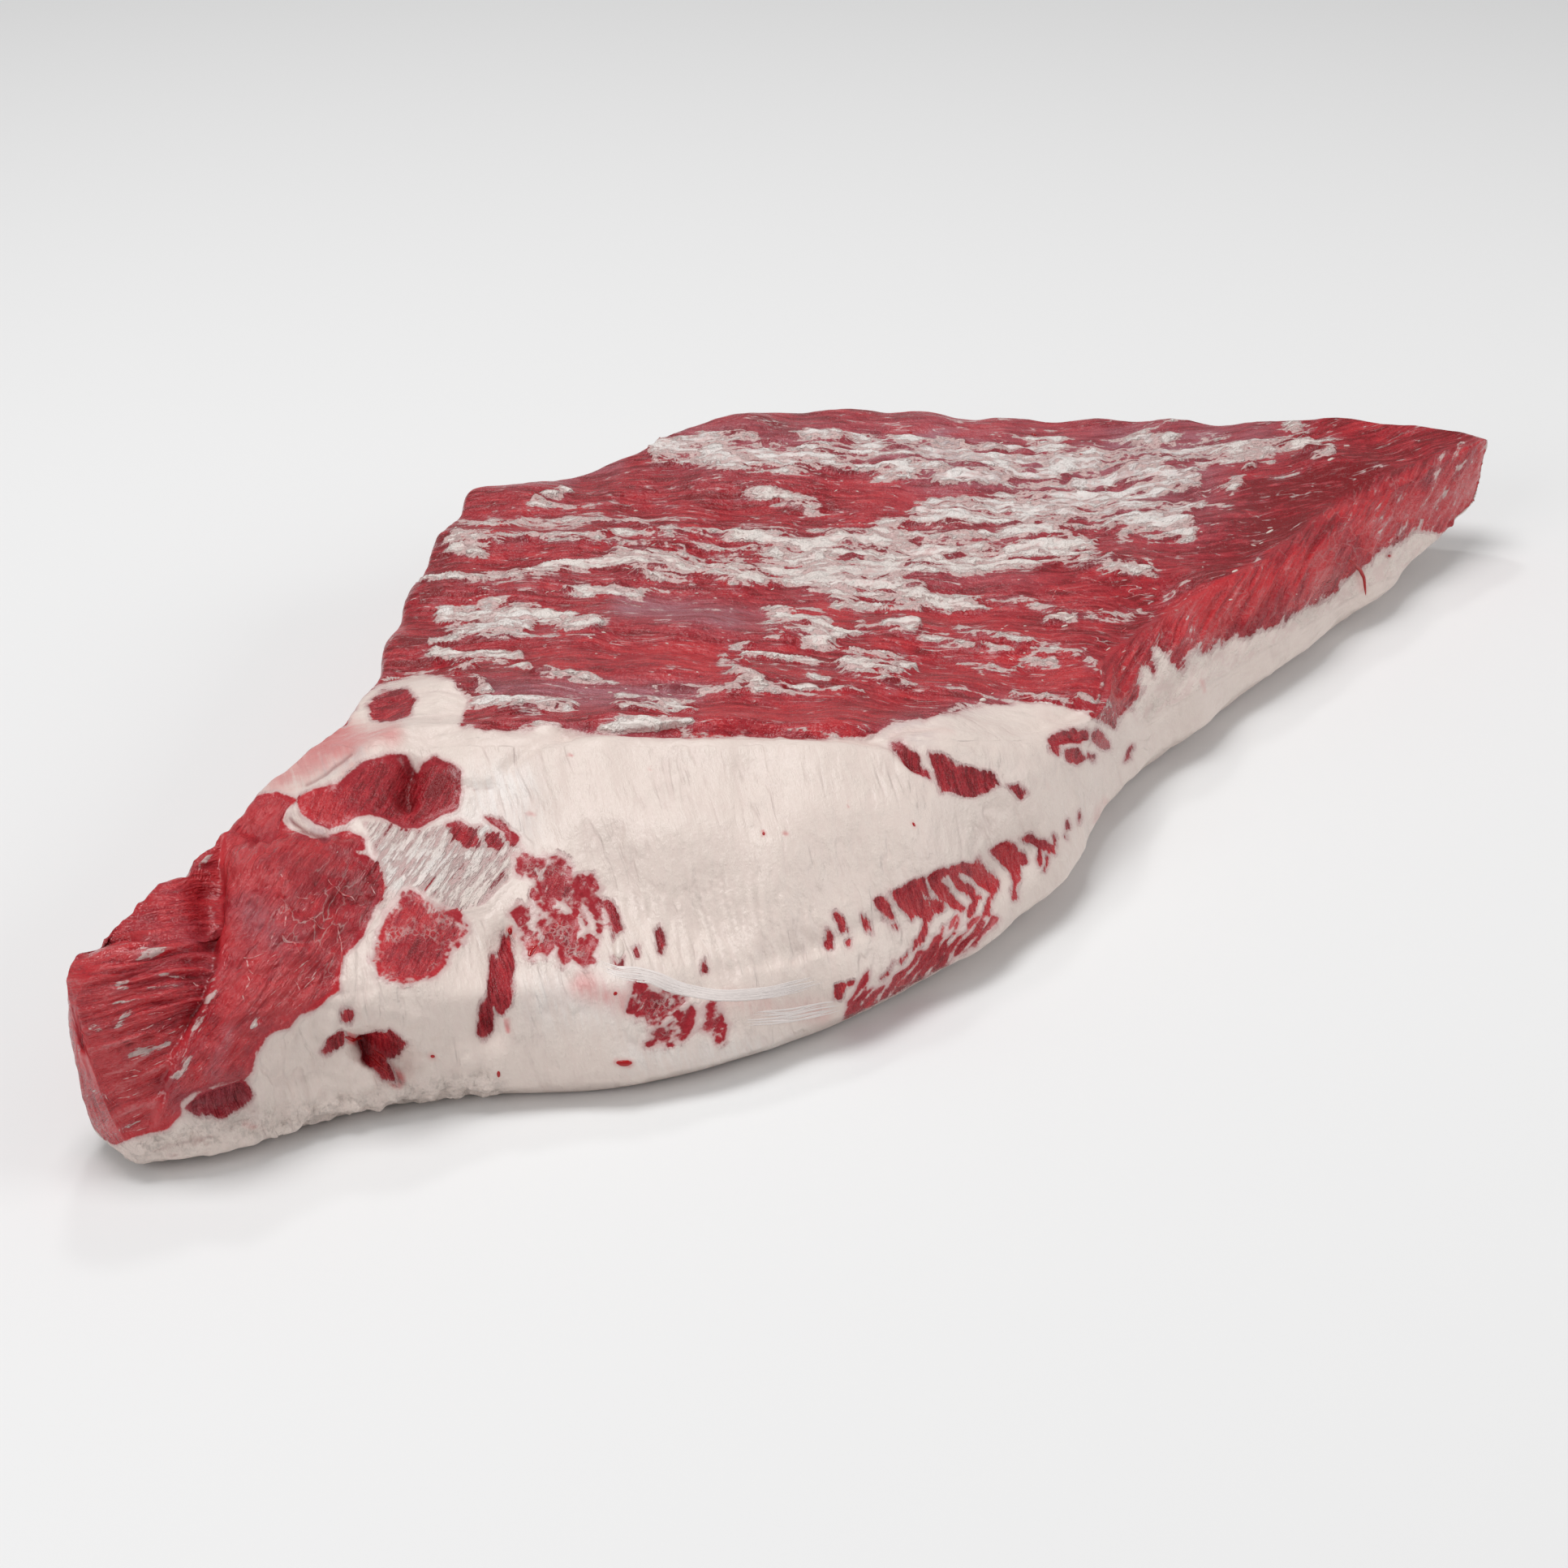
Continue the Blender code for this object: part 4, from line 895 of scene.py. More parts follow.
def turned(degrees):
    """Cosine and sine of an angle."""
    return math.cos(math.radians(degrees)), math.sin(math.radians(degrees))


def bands(spots, table):
    """The greatest of (half width minus distance) over all bands, in pixels."""
    best = np.full(spots.shape[:-1], -40.0)
    for x0, y0, x1, y1, half in table:
        best = np.maximum(best, half - near_line(spots, ((x0, y0), (x1, y1)), half + 40.0))
    return best


def washes(spots, table):
    """Sum of soft bands, each fading out over its half width."""
    total = np.zeros(spots.shape[:-1])
    for x0, y0, x1, y1, half, amount in table:
        distance = near_line(spots, ((x0, y0), (x1, y1)), 3.0 * half)
        total += amount * np.exp(-(distance / half) ** 2)
    return total


class Skin:
    """Every array on the grid of the whole cut: points, normals, photo spots, and what covers them."""

    def __init__(self, sizes):
        around, self.spans = girth_places()
        self.form = main_form(around)
        points = in_the_box(self.form)
        normals = unit(softened(outward_normals(points), (1, 2, 4, 4)))
        self.spots = photo_spots(points)
        eye = np.array(VIEW_AIM) - view_axes()[2] * VIEW_DISTANCE
        toward = eye - points
        facing = (toward * normals).sum(axis=-1) / np.linalg.norm(toward, axis=-1)
        self.shown, self.facing = step(-0.03, 0.10, facing), facing
        self.milli = points / MILLI
        self.find_zones()
        self.find_lays()
        self.cover_with_fat(np.broadcast_to(around, facing.shape))
        self.tint()
        points = points + normals * self.fine_relief(sizes)[..., None]
        points[..., 2] = np.maximum(points[..., 2], LOW[2])
        self.points = in_the_box(points)
        self.normals = outward_normals(self.points)
        self.calm_normals = unit(softened(normals, (8, 8, 12)))

    def find_zones(self):
        """How far each point lies inside the areas that the photo shows, in pixels."""
        spots = self.spots
        self.lobes = inside(spots, POINT_LOBES, 60)
        self.marbled = inside(spots, MARBLED_LEAN, 60)
        self.muscle = inside(spots, MUSCLE, 20)
        self.recess = inside(spots, RECESS, 20)
        self.wall = inside(spots, WALL, 30)
        self.sheet = inside(spots, SHEET, 40)
        self.kernel = inside(spots, KERNEL, 40)
        self.netted = most(inside(spots, outline, 30) for outline in NETTED_PATCHES)
        self.lower_ribs = inside(spots, LOWER_RIBS, 30)
        seam = spots @ np.array((-SEAM_DIRECTION[1], SEAM_DIRECTION[0]))
        seam = seam + 5 * noise(spots, (30, 30), 61)
        seam = np.abs(seam / SEAM_PITCH - np.round(seam / SEAM_PITCH)) * SEAM_PITCH
        self.lower_ribs = np.minimum(self.lower_ribs, seam - 1.0 - 1.2 * noise(spots, (26, 26), 62))
        self.patches = most(inside(spots, outline, 30) for outline in LEAN_PATCHES + UPPER_RIBS)
        self.patches = np.maximum(self.patches, np.maximum(self.netted, self.lower_ribs))
        ledge = np.array(LEDGE, float)
        self.past_ledge = spots[..., 0] - np.interp(spots[..., 1], ledge[:, 1], ledge[:, 0])

    def find_lays(self):
        """Places along and across the fibres in photo pixels for each lay, and each lay's share."""
        x, y = self.spots[..., 0], self.spots[..., 1]
        right, up, _ahead = view_axes()
        ground = PIXELS_PER_MM * np.stack([self.milli @ right, self.milli[..., :2] @ -up[:2],
                                           self.milli[..., 2]], axis=-1)
        warp = 7 * noise(ground, (300, 90, 80), 51) + 1.5 * noise(ground, (70, 28, 28), 52)
        ground[..., 1] += warp + 0.00042 * np.clip(x - 1200, 0, None) ** 2 * step(900, 700, y)
        self.lays = {"top": ground}
        wander = warp + 5 * noise(self.spots, (60, 40), 53)
        for label, degrees, shortened in (("lobe", 126, 1.0), ("cut", 118, 1.7), ("down", 76, 1.0)):
            c, s = turned(degrees)
            self.lays[label] = np.stack([shortened * (c * x + s * y), c * y - s * x + 0.6 * wander,
                                         1.5 * self.milli[..., 2]], axis=-1)
        fan = 0.14 + 0.0018 * np.clip(y - 1170, 0, 260)
        self.lays["tip"] = np.stack([x, y + fan * (x - 150) + wander, 1.5 * self.milli[..., 2]], axis=-1)
        tip = step(-6, 6, self.lobes) * step(5, -5, self.past_ledge)
        cut = most((step(-3, 5, self.wall), step(-3, 5, self.muscle), step(-6, 4, self.netted),
                    step(-3, 3, inside(self.spots, LOWER_RIBS, 20))))
        lobe = most((step(-6, 6, self.lobes), step(-8, 8, self.sheet))) * (1 - cut)
        down = step(2, -6, self.marbled) * step(895, 935, y) * self.shown
        others = np.stack([lobe * (1 - tip), tip, down * (1 - lobe) * (1 - tip) * (1 - cut),
                           cut * (1 - tip)], axis=-1)
        shares = np.concatenate([others, 1 - others.sum(axis=-1, keepdims=True)], axis=-1)
        labels = ("lobe", "tip", "down", "cut", "top")
        self.shares = dict(zip(labels, np.moveaxis(shares, -1, 0)))
        strongest = shares.argmax(axis=-1)[..., None]
        lays = np.stack([self.lays[label] for label in labels], axis=-2)
        self.grain = np.take_along_axis(lays, strongest[..., None], axis=-2)[..., 0, :]
        same = np.ones(self.lobes.shape)
        for axis in (0, 1):
            for shift in (1, -1):
                same *= strongest[..., 0] == np.roll(strongest[..., 0], shift, axis=axis)
        self.calm = step(0.62, 1.0, softened(same, (1, 1))) * same * (1 - 0.2 * self.shares["cut"])

    def along_fibres(self, size, octaves, seed):
        """Noise drawn out along the fibres: each lay's own noise times its share."""
        total = np.zeros(self.lobes.shape)
        for label, share in self.shares.items():
            here = share > 0
            total[here] += share[here] * fractal(self.lays[label][here], size, octaves, seed)
        return total

    def cover_with_fat(self, around):
        """Pixels inside the fat, negative in the lean: areas first, then streaks, flecks and nets."""
        spots, ground = self.spots, self.lays["top"]
        lean = most((self.lobes, self.marbled, self.patches, self.netted + 1.6))
        cover = 3 * fractal(spots, (22, 22), 2, 11) * step(6, -6, self.muscle) - lean
        heavy, solid = bands(spots, FAT_BANDS), bands(spots, SOLID_LEAN)
        marbling = 16.0 * step(-16, 10, heavy) - 10.3
        marbling -= 9 * step(-12, 8, solid) * step(6, -6, heavy)
        marbling += 10 * fractal(ground, (150, 12, 60), 3, 21) + 5 * fractal(ground, (50, 14, 40), 2, 24)
        wavering = spots + 4 * noise(spots, (22, 22), 5)[..., None]
        lines = most(half - near_line(wavering, line, 20) for half, *line in WHITE_LINES)
        thinning = 3 * noise(ground, (40, 8, 30), 27)
        marbling = np.maximum(marbling, lines + thinning)
        marbling = np.where(self.wall > 0, np.minimum(lines, -1.8) + 0.4 * thinning, marbling)
        cover = np.where(self.marbled > 0, np.maximum(cover, marbling), cover)
        flecks = most(self.fleck(*fleck) for fleck in FLECKS)
        flecks += 0.6 * thinning + 4 * noise(spots, (9, 6), 64)
        cover = np.where(self.lobes > 0, np.maximum(cover, np.minimum(flecks, 1.0)), cover)
        beside = step(-18, -3, self.netted) * step(6, -2, self.muscle)
        cover -= beside * np.maximum(cover - 4 - 8 * fractal(spots, (18, 18), 2, 28), 0)
        netting = np.minimum(7 * (0.17 - np.abs(fractal(spots, (24, 17), 2, 63))), 0.9)
        netting -= 0.13 * self.netted
        cover = np.where(self.netted > 0, np.maximum(cover, netting), cover)
        strands = 5 + 4 * fractal(self.lays["lobe"], (130, 11, 60), 2, 29)
        cover -= step(-4, 8, self.sheet) * step(4, -4, lean) * np.maximum(cover - strands, 0)
        height, place = self.form[..., 2], self.form[..., 0]
        rim = 2.6 + 0.5 * fractal(self.milli, (22, 22, 22), 3, 31) - 1.2 * step(20, 8, place)
        far_side = (rim - height) * UNIT / MILLI * PIXELS_PER_MM
        streaked = 11 * fractal(ground, (80, 12, 30), 3, 33) - 8
        far_side = np.where(far_side < 0, np.maximum(far_side, streaked), far_side)
        lean_side = ((around > SEAMS[1]) & (around < 0.90)) | (place < 7)
        hidden = np.where(lean_side, far_side, 20.0)
        self.cover = np.clip(cover * self.shown + hidden * (1 - self.shown), -30, 30)

    def fleck(self, x, y, reach, half, turn):
        """How far inside a long fleck on the photo each point lies: 8 at its middle, 0 on its edge."""
        c, s = turned(turn)
        away = self.spots - (x, y)
        along, across = (away @ np.array((c, s))) / reach, (away @ np.array((-s, c))) / half
        return np.maximum(8.0 * (1 - np.hypot(along, across)), -20.0)

    def tint(self):
        """The other values of the skin, near 0 to 1.

        Tone of the lean, with painted light on the crests of its waves and painted shade in their troughs,
        silverskin, stains, grey fat, darkness (painted shade in grooves, and brown marks on the rim), net
        of fat, raggedness, sleekness and crumbs."""
        spots, shown, on_tip = self.spots, self.shown, self.shares["tip"]
        self.tone = washes(spots, TONES) * shown + 0.16 * fractal(self.milli, (24, 24, 24), 3, 41)
        strength = 0.12 + 0.3 * step(0, 8, self.wall) * shown
        self.tone += strength * self.along_fibres((120, 16, 60), 3, 44)
        self.waves = np.abs(self.along_fibres((120, 14, 60), 2, 86)) - 0.25
        self.waves *= on_tip * (0.3 + 0.7 * step(1080, 1160, spots[..., 1]))
        # Painted light on the crests of the waves at the point end and painted shade in their troughs
        self.tone += 0.9 * self.waves
        self.tone += 0.30 * step(0, 10, self.lobes) * (1 - on_tip) * fractal(spots, (60, 44), 3, 46)
        self.film = np.clip(washes(spots, SILVERSKIN) * shown, 0, 1)
        self.stain = washes(spots, STAINS) * shown
        self.stain += 0.12 * step(0.28, 0.0, np.abs(from_middle(spots, SMALL_RING) - 1)) * shown
        self.grey = np.clip(washes(spots, GREY_FAT) + 0.6 * step(-4, 4, self.marbled), 0, 1) * shown
        # Painted shade in the grooves and hollows, darkest in the slits and under the ledge; then the brown
        # marks along the rim, the fat's own colour
        self.dark = most(darkness * np.exp(-(near_line(spots, line, 4 * half) / half) ** 2)
                         for line, half, _depth, darkness in GROOVES_AND_PAINTED_SHADE)
        brown = near_line(spots + 9 * noise(spots, (14, 14), 71)[..., None], BROWN_EDGE, 40)
        brown = 0.55 * step(9, 2, brown) * step(-0.1, 0.5, noise(spots, (16, 7), 72))
        self.dark = np.maximum(self.dark, brown) * shown
        on_lobe = step(0, 12, self.lobes) * np.exp(-from_middle(spots, NETTED_LOBE) ** 2)
        self.net = most((step(-4, 3, self.netted) * step(0.6, 1.0, from_middle(spots, ISLAND_HEART)),
                         0.55 * on_lobe, 0.3 * step(-3, 5, self.wall))) * shown
        self.rag = 0.12 + 0.88 * step(-4, 8, self.marbled) * step(4, -2, self.wall)
        self.rag = np.maximum(self.rag, 0.6 * step(0, 10, self.lobes) + 0.5 * step(0, 6, self.wall))
        self.rag = most((self.rag, 0.3 * step(-20, -6, self.netted), 0.6 * step(-6, 8, self.sheet),
                         0.3 * step(-6, 0, self.patches)))
        self.rag = self.rag * shown + 0.6 * (1 - shown)
        self.sleek = step(0, 12, self.lobes) * shown
        self.crumb = step(34, 6, near_line(spots, CRUMBLY_RIM, 60)) * shown

    def fine_relief(self, sizes):
        """Height over the main form in metres: fat, fibres, waves, facets, wrinkles, crumbs, cuts."""
        spots, milli, shown = self.spots, self.milli, self.shown
        fat = step(-3, 4, self.cover)
        lean = 1 - fat
        in_lobes = step(0, 20, self.lobes)
        on_top = step(0, 6, self.marbled) * shown
        smooth = step(-4, 12, self.kernel) * shown
        lumps = np.abs(self.along_fibres((46, 12, 40), 2, 81))
        height = sizes.fat_step * fat * (0.35 + 0.65 * on_top)
        height += sizes.streak_height * fat * on_top * (1.6 * lumps - 0.3)
        strength = 0.5 + 0.8 * in_lobes + 1.9 * step(0, 10, self.wall) * shown
        height += sizes.fibre_height * lean * strength * self.along_fibres((110, 10, 60), 2, 85)
        height += WAVE_HEIGHT * MILLI * self.waves * step(0.0, 0.45, self.facing)
        swells = fractal(milli, (16, 16, 16), 3, 88) * (0.35 + 0.65 * lean) * (1 - 0.7 * smooth)
        height += SWELL_HEIGHT * MILLI * swells
        facets = np.abs(fractal(spots + 8 * noise(spots, (40, 40), 89)[..., None], (52, 40), 2, 90))
        height += FACET_HEIGHT * MILLI * in_lobes * (1 - self.shares["tip"]) * (facets - 0.3)
        foot = step(0, 26, inside(spots, KERNEL_FOOT, 40))
        wrinkles = np.abs(noise(self.lays["down"], (70, 13, 60), 92))
        height += sizes.wrinkle_height * foot * (2.2 * wrinkles - 0.5)
        creases = np.abs(fractal(self.lays["down"], (110, 40, 60), 3, 96))
        height += 0.8 * sizes.wrinkle_height * fat * (creases - 0.3) * (1 - on_top)
        height += sizes.crumb_height * self.crumb * fat * fractal(milli, (4.5, 4.5, 4.5), 3, 94)
        lumpy = step(0, 24, inside(spots, LUMPY_FAT, 40)) * fat
        height += 1.2 * sizes.crumb_height * lumpy * (np.abs(fractal(milli, (11, 11, 11), 3, 97)) - 0.3)
        for line, half, depth, _darkness in GROOVES_AND_PAINTED_SHADE:
            wide = max(half, GRID_PIXELS)
            height -= depth * MILLI * np.exp(-(near_line(spots, line, 4 * wide) / wide) ** 2) * shown
        edge = near_line(spots, LEDGE[1:-1], 60)
        height -= LEDGE_STEP * MILLI * step(3, -5, self.past_ledge) * step(50, 6, edge) * shown
        height -= RECESS_DEPTH * MILLI * step(0, 10, self.recess) * shown
        height -= PATCH_DEPTH * MILLI * step(0, 6, self.patches) * shown
        inside_the_ends = step(0, 2.0, np.minimum(self.form[..., 0], 100 - self.form[..., 0]))
        height *= 0.35 + 0.65 * inside_the_ends
        return height * step(0.0004, 0.004, milli[..., 2] * MILLI - LOW[2])


def piece_mesh(name, skin):
    """A closed slice: its rows of the skin, closed through the middle of each section and at both ends.

    The closing walls go square in from the skin's two edges first, and from there to the spine."""
    first, last = skin.spans[name]
    rows = np.arange(first, last + 1) % skin.points.shape[1]
    low, high = skin.points.min(axis=1), skin.points.max(axis=1)
    spine = low + (high - low) * np.array(SPINE)
    rims, inward = skin.points[:, rows[[0, -1]]], -skin.calm_normals[:, rows[[0, -1]]]
    depth = np.minimum(WALL_DEPTH, 0.15 * np.linalg.norm(rims - spine[:, None], axis=-1))
    under = rims + inward * depth[..., None]
    outside = np.concatenate([under[:, :1], skin.points[:, rows], under[:, 1:]], axis=1)
    rows = np.concatenate([rows[:1], rows, rows[-1:]])
    stations, count = outside.shape[:2]
    ends = np.stack([spine[0], spine[-1]])
    vertices = np.concatenate([outside.reshape(-1, 3), spine, ends])
    index = np.arange(stations * count).reshape(stations, count)
    inner = stations * count + np.arange(stations)
    loop = np.concatenate([index, inner[:, None]], axis=1)
    beside = np.roll(loop, -1, axis=1)
    sides = np.stack([loop[:-1], loop[1:], beside[1:], beside[:-1]], axis=-1).reshape(-1, 4)
    start, end = len(vertices) - 2, len(vertices) - 1
    start_fan = np.stack([np.full(count - 1, start), loop[0, :-2], loop[0, 1:-1]], axis=-1)
    end_fan = np.stack([np.full(count - 1, end), loop[-1, 1:-1], loop[-1, :-2]], axis=-1)
    start_wall = np.array([(start, loop[0, -2], inner[0]), (start, inner[0], loop[0, 0])])
    end_wall = np.array([(end, inner[-1], loop[-1, -2]), (end, loop[-1, 0], inner[-1])])
    triangles = np.concatenate([start_fan, end_fan, start_wall, end_wall])
    corners = np.concatenate([sides.ravel(), triangles.ravel()]).astype(np.int32)
    starts = np.concatenate([np.arange(len(sides)) * 4, len(sides) * 4 + np.arange(len(triangles)) * 3])
    mesh = bpy.data.meshes.new(name)
    mesh.vertices.add(len(vertices))
    mesh.vertices.foreach_set("co", vertices.astype(np.float32).ravel())
    mesh.loops.add(len(corners))
    mesh.loops.foreach_set("vertex_index", corners)
    mesh.polygons.add(len(starts))
    mesh.polygons.foreach_set("loop_start", starts.astype(np.int32))
    mesh.update(calc_edges=True)
    mesh.shade_smooth()
    inward = np.zeros((stations + 2, 3))
    inward[:, 2] = 1.0
    normals = np.concatenate([skin.normals[:, rows].reshape(-1, 3), inward])
    mesh.normals_split_custom_set_from_vertices(normals.tolist())
    extra = stations + 2
    for label in SKIN_VALUES:
        values = getattr(skin, label)[:, rows].ravel()
        layer = mesh.attributes.new(label, "FLOAT", "POINT")
        layer.data.foreach_set("value", np.concatenate([values, np.zeros(extra)]).astype(np.float32))
    grain = np.concatenate([skin.grain[:, rows].reshape(-1, 3), np.zeros((extra, 3))])
    layer = mesh.attributes.new("grain", "FLOAT_VECTOR", "POINT")
    layer.data.foreach_set("vector", grain.astype(np.float32).ravel())
    return mesh


def darker(shade, share):
    """A colour at this share of its brightness."""
    return tuple(share * channel for channel in shade)


class Shader:
    """Short calls that add nodes to one material and join them."""

    def __init__(self, name):
        self.material = bpy.data.materials.new(name)
        self.material.use_nodes = True
        self.tree = self.material.node_tree
        self.surface = self.tree.nodes["Principled BSDF"]

    def join(self, value, socket):
        """Link an output to a socket, or set the socket to a plain value."""
        if isinstance(value, bpy.types.NodeSocket):
            self.tree.links.new(value, socket)
        else:
            socket.default_value = value

    def field(self, name, vector=False):
        """A value stored on the mesh."""
        node = self.tree.nodes.new("ShaderNodeAttribute")
        node.attribute_name = name
        return node.outputs["Vector" if vector else "Fac"]

    def place(self):
        """The point's own place on its piece."""
        return self.tree.nodes.new("ShaderNodeTexCoord").outputs["Object"]

    def scaled(self, vector, scale):
        """A vector times a scale on each axis."""
        node = self.tree.nodes.new("ShaderNodeVectorMath")
        node.operation = "MULTIPLY"
        self.join(vector, node.inputs[0])
        node.inputs[1].default_value = scale
        return node.outputs[0]

    def noise(self, vector, scale, detail=4.0, roughness=0.55, distortion=0.0):
        """Noise from 0 to 1 at this scale."""
        node = self.tree.nodes.new("ShaderNodeTexNoise")
        self.join(vector, node.inputs["Vector"])
        node.inputs["Scale"].default_value = scale
        node.inputs["Detail"].default_value = detail
        node.inputs["Roughness"].default_value = roughness
        node.inputs["Distortion"].default_value = distortion
        return node.outputs["Fac"]

    def cracks(self, vector, scale):
        """Distance to the nearest edge between cells."""
        node = self.tree.nodes.new("ShaderNodeTexVoronoi")
        node.feature = "DISTANCE_TO_EDGE"
        self.join(vector, node.inputs["Vector"])
        node.inputs["Scale"].default_value = scale
        return node.outputs["Distance"]

    def warped(self, vector, scale, amount):
        """A vector pushed about by noise at this scale."""
        push = self.tree.nodes.new("ShaderNodeTexNoise")
        self.join(vector, push.inputs["Vector"])
        push.inputs["Scale"].default_value = scale
        push.inputs["Detail"].default_value = 2.0
        node = self.tree.nodes.new("ShaderNodeVectorMath")
        node.operation = "MULTIPLY_ADD"
        self.join(push.outputs["Color"], node.inputs[0])
        node.inputs[1].default_value = (amount, amount, amount)
        self.join(vector, node.inputs[2])
        return node.outputs[0]

    def sum(self, *terms):
        """Sum of (value, factor) pairs."""
        total = None
        for value, factor in terms:
            node = self.tree.nodes.new("ShaderNodeMath")
            node.operation = "MULTIPLY_ADD"
            self.join(value, node.inputs[0])
            node.inputs[1].default_value = factor
            self.join(0.0 if total is None else total, node.inputs[2])
            total = node.outputs[0]
        return total

    def math(self, operation, first, second=0.0):
        """One step of arithmetic."""
        node = self.tree.nodes.new("ShaderNodeMath")
        node.operation = operation
        self.join(first, node.inputs[0])
        self.join(second, node.inputs[1])
        return node.outputs[0]

    def times(self, *factors):
        """Product of several values."""
        product = factors[0]
        for factor in factors[1:]:
            product = self.math("MULTIPLY", product, factor)
        return product

    def span(self, value, low, high, start=0.0, end=1.0):
        """Smooth change from start to end as the value goes from low to high."""
        node = self.tree.nodes.new("ShaderNodeMapRange")
        node.interpolation_type = "SMOOTHSTEP"
        self.join(value, node.inputs["Value"])
        for label, number in (("From Min", low), ("From Max", high), ("To Min", start), ("To Max", end)):
            node.inputs[label].default_value = number
        return node.outputs["Result"]

    def mix(self, share, first, second):
        """Colour between two colours."""
        node = self.tree.nodes.new("ShaderNodeMix")
        node.data_type = "RGBA"
        self.join(share, node.inputs["Factor"])
        for label, value in (("A", first), ("B", second)):
            socket = next(s for s in node.inputs if s.name == label and s.type == "RGBA")
            self.join(value if isinstance(value, bpy.types.NodeSocket) else (*value, 1.0), socket)
        return next(s for s in node.outputs if s.type == "RGBA")

    def bump(self, height, distance, strength):
        """Fine relief for the surface, its height in units of distance."""
        node = self.tree.nodes.new("ShaderNodeBump")
        node.inputs["Distance"].default_value = distance
        node.inputs["Strength"].default_value = strength
        self.join(height, node.inputs["Height"])
        self.join(node.outputs["Normal"], self.surface.inputs["Normal"])


class MeatFinish(Shader):
    """Lean and fat in one finish, from the values on the skin and from noise along its fibres."""

    def __init__(self, colours):
        super().__init__("raw_beef")
        self.colours = colours
        for label in SKIN_VALUES:
            setattr(self, label, self.field(label))
        self.grain = self.field("grain", vector=True)
        self.spot = self.place()
        self.streaks = self.fibres((0.011, 0.13, 0.07), 6.0, 0.62)
        self.threads = self.fibres((0.035, 0.40, 0.15), 3.0, 0.6)
        self.tufts = self.fibres((0.034, 0.080, 0.06), 4.0, 0.6)
        self.shreds = self.fibres((0.085, 0.20, 0.12), 3.0, 0.6)
        self.blotches = self.lumps(60.0, 4.0)
        self.lobules = self.lumps(260.0, 3.0)
        self.specks = self.lumps(1300.0, 2.0)
        self.find_edges()
        self.pleats, self.net_lines = self.soft_pleats(), self.fat_net()
        puffs = self.blend(tufts=1.0, shreds=0.6, lobules=0.5)
        self.puffs = self.math("ABSOLUTE", puffs)
        base = self.mix(self.thin, self.lean_colour(), colours.thin_fat_and_shade)
        base = self.mix(self.opaque, base, self.fat_colour())
        # Painted shade from the grooves, darkest in the deepest slits, together with the brown marks of the
        # rim
        base = self.mix(self.span(self.dark, 0.05, 1.0), base, colours.dark_lean_and_shade)
        base = self.mix(self.span(self.dark, 0.8, 1.1), base, DEEPEST_FOLD_SHADE)
        self.join(base, self.surface.inputs["Base Color"])
        self.wet_gloss()
        self.relief()

    def blend(self, **shares):
        """Sum of the finish's own values and patterns, each times its share."""
        return self.sum(*((getattr(self, label), share) for label, share in shares.items()))

    def fibres(self, scale, detail, roughness):
        """Noise along the fibres around zero, calmed where two lays of fibre meet."""
        drawn = self.noise(self.scaled(self.grain, scale), 1.0, detail, roughness)
        return self.times(self.math("SUBTRACT", drawn, 0.5), self.calm)

    def lumps(self, scale, detail):
        """Noise of the same size in every direction, around zero."""
        return self.math("SUBTRACT", self.noise(self.spot, scale, detail), 0.5)

    def find_edges(self):
        """Where fat veils the lean, lies thin on it and covers it: pixels of cover, frayed by noise."""
        frayed = self.blend(streaks=46.0, tufts=22.0, shreds=15.0, threads=10.0, lobules=5.0)
        self.edge = self.sum((self.cover, 1.0), (self.times(frayed, self.rag), 1.0),
                             (self.lobules, 4.0), (self.specks, 2.0))
        self.veiled = self.span(self.edge, -11.0, -0.3)
        self.thin = self.span(self.edge, -0.9, 1.6)
        self.opaque = self.span(self.blend(edge=1.0, rag=-3.0), 0.4, 5.0)

    def soft_pleats(self):
        """Faint pleats down the smooth fat."""
        pleats = self.math("ABSOLUTE", self.fibres((0.009, 0.045, 0.04), 2.0, 0.4))
        smooth = self.blend(blotches=1.0, rag=-0.5)
        return self.times(self.span(pleats, 0.0, 0.10, 1.0, 0.0), self.span(smooth, -0.22, 0.1))

    def cell_lines(self, scale, width, share):
        """Lines between cells drawn out along the fibres, as strong as their share."""
        cells = self.cracks(self.warped(self.scaled(self.grain, scale), 1.8, 0.8), 1.0)
        return self.times(self.span(cells, 0.0, width, 1.0, 0.0), share)

    def fat_net(self):
        """The net of fine fat in the small patches: narrow cells inside coarse ones."""
        coarse = self.cell_lines((0.026, 0.045, 0.04), 0.045, self.span(self.net, 0.0, 0.7))
        narrow = self.cell_lines((0.07, 0.12, 0.10), 0.16, self.span(self.net, 0.8, 1.0))
        patchy = self.span(self.noise(self.spot, 110.0, 3.0), 0.42, 0.56)
        return self.times(self.math("MAXIMUM", coarse, narrow), patchy, self.calm)

    def lean_colour(self):
        """Red meat: dark to bright by its tone, which carries painted light and painted shade, pale threads
        and a painted highlight where the tone runs highest, silverskin, seams and the net of fat.
        """
        colours = self.colours
        streaked = self.times(self.blend(streaks=2.7, threads=1.5),
                              self.span(self.sleek, 0.0, 1.0, 1.0, 0.35))
        blotched = self.times(self.sleek, self.blend(blotches=0.9, shreds=0.8))
        tone = self.sum((self.tone, 1.0), (streaked, 1.0), (blotched, 1.0), (self.lobules, 0.6),
                        (self.specks, 0.7), (0.46, 1.0))
        lean = self.mix(self.span(tone, 0.05, 0.46), colours.dark_lean_and_shade, colours.lean)
        lean = self.mix(self.span(tone, 0.46, 1.0), lean, colours.bright_lean)
        pale = self.times(self.span(self.threads, 0.02, 0.20),
                          self.span(self.blotches, -0.15, 0.15, 0.05, 0.30),
                          self.span(self.sleek, 0.0, 1.0, 1.0, 0.45))
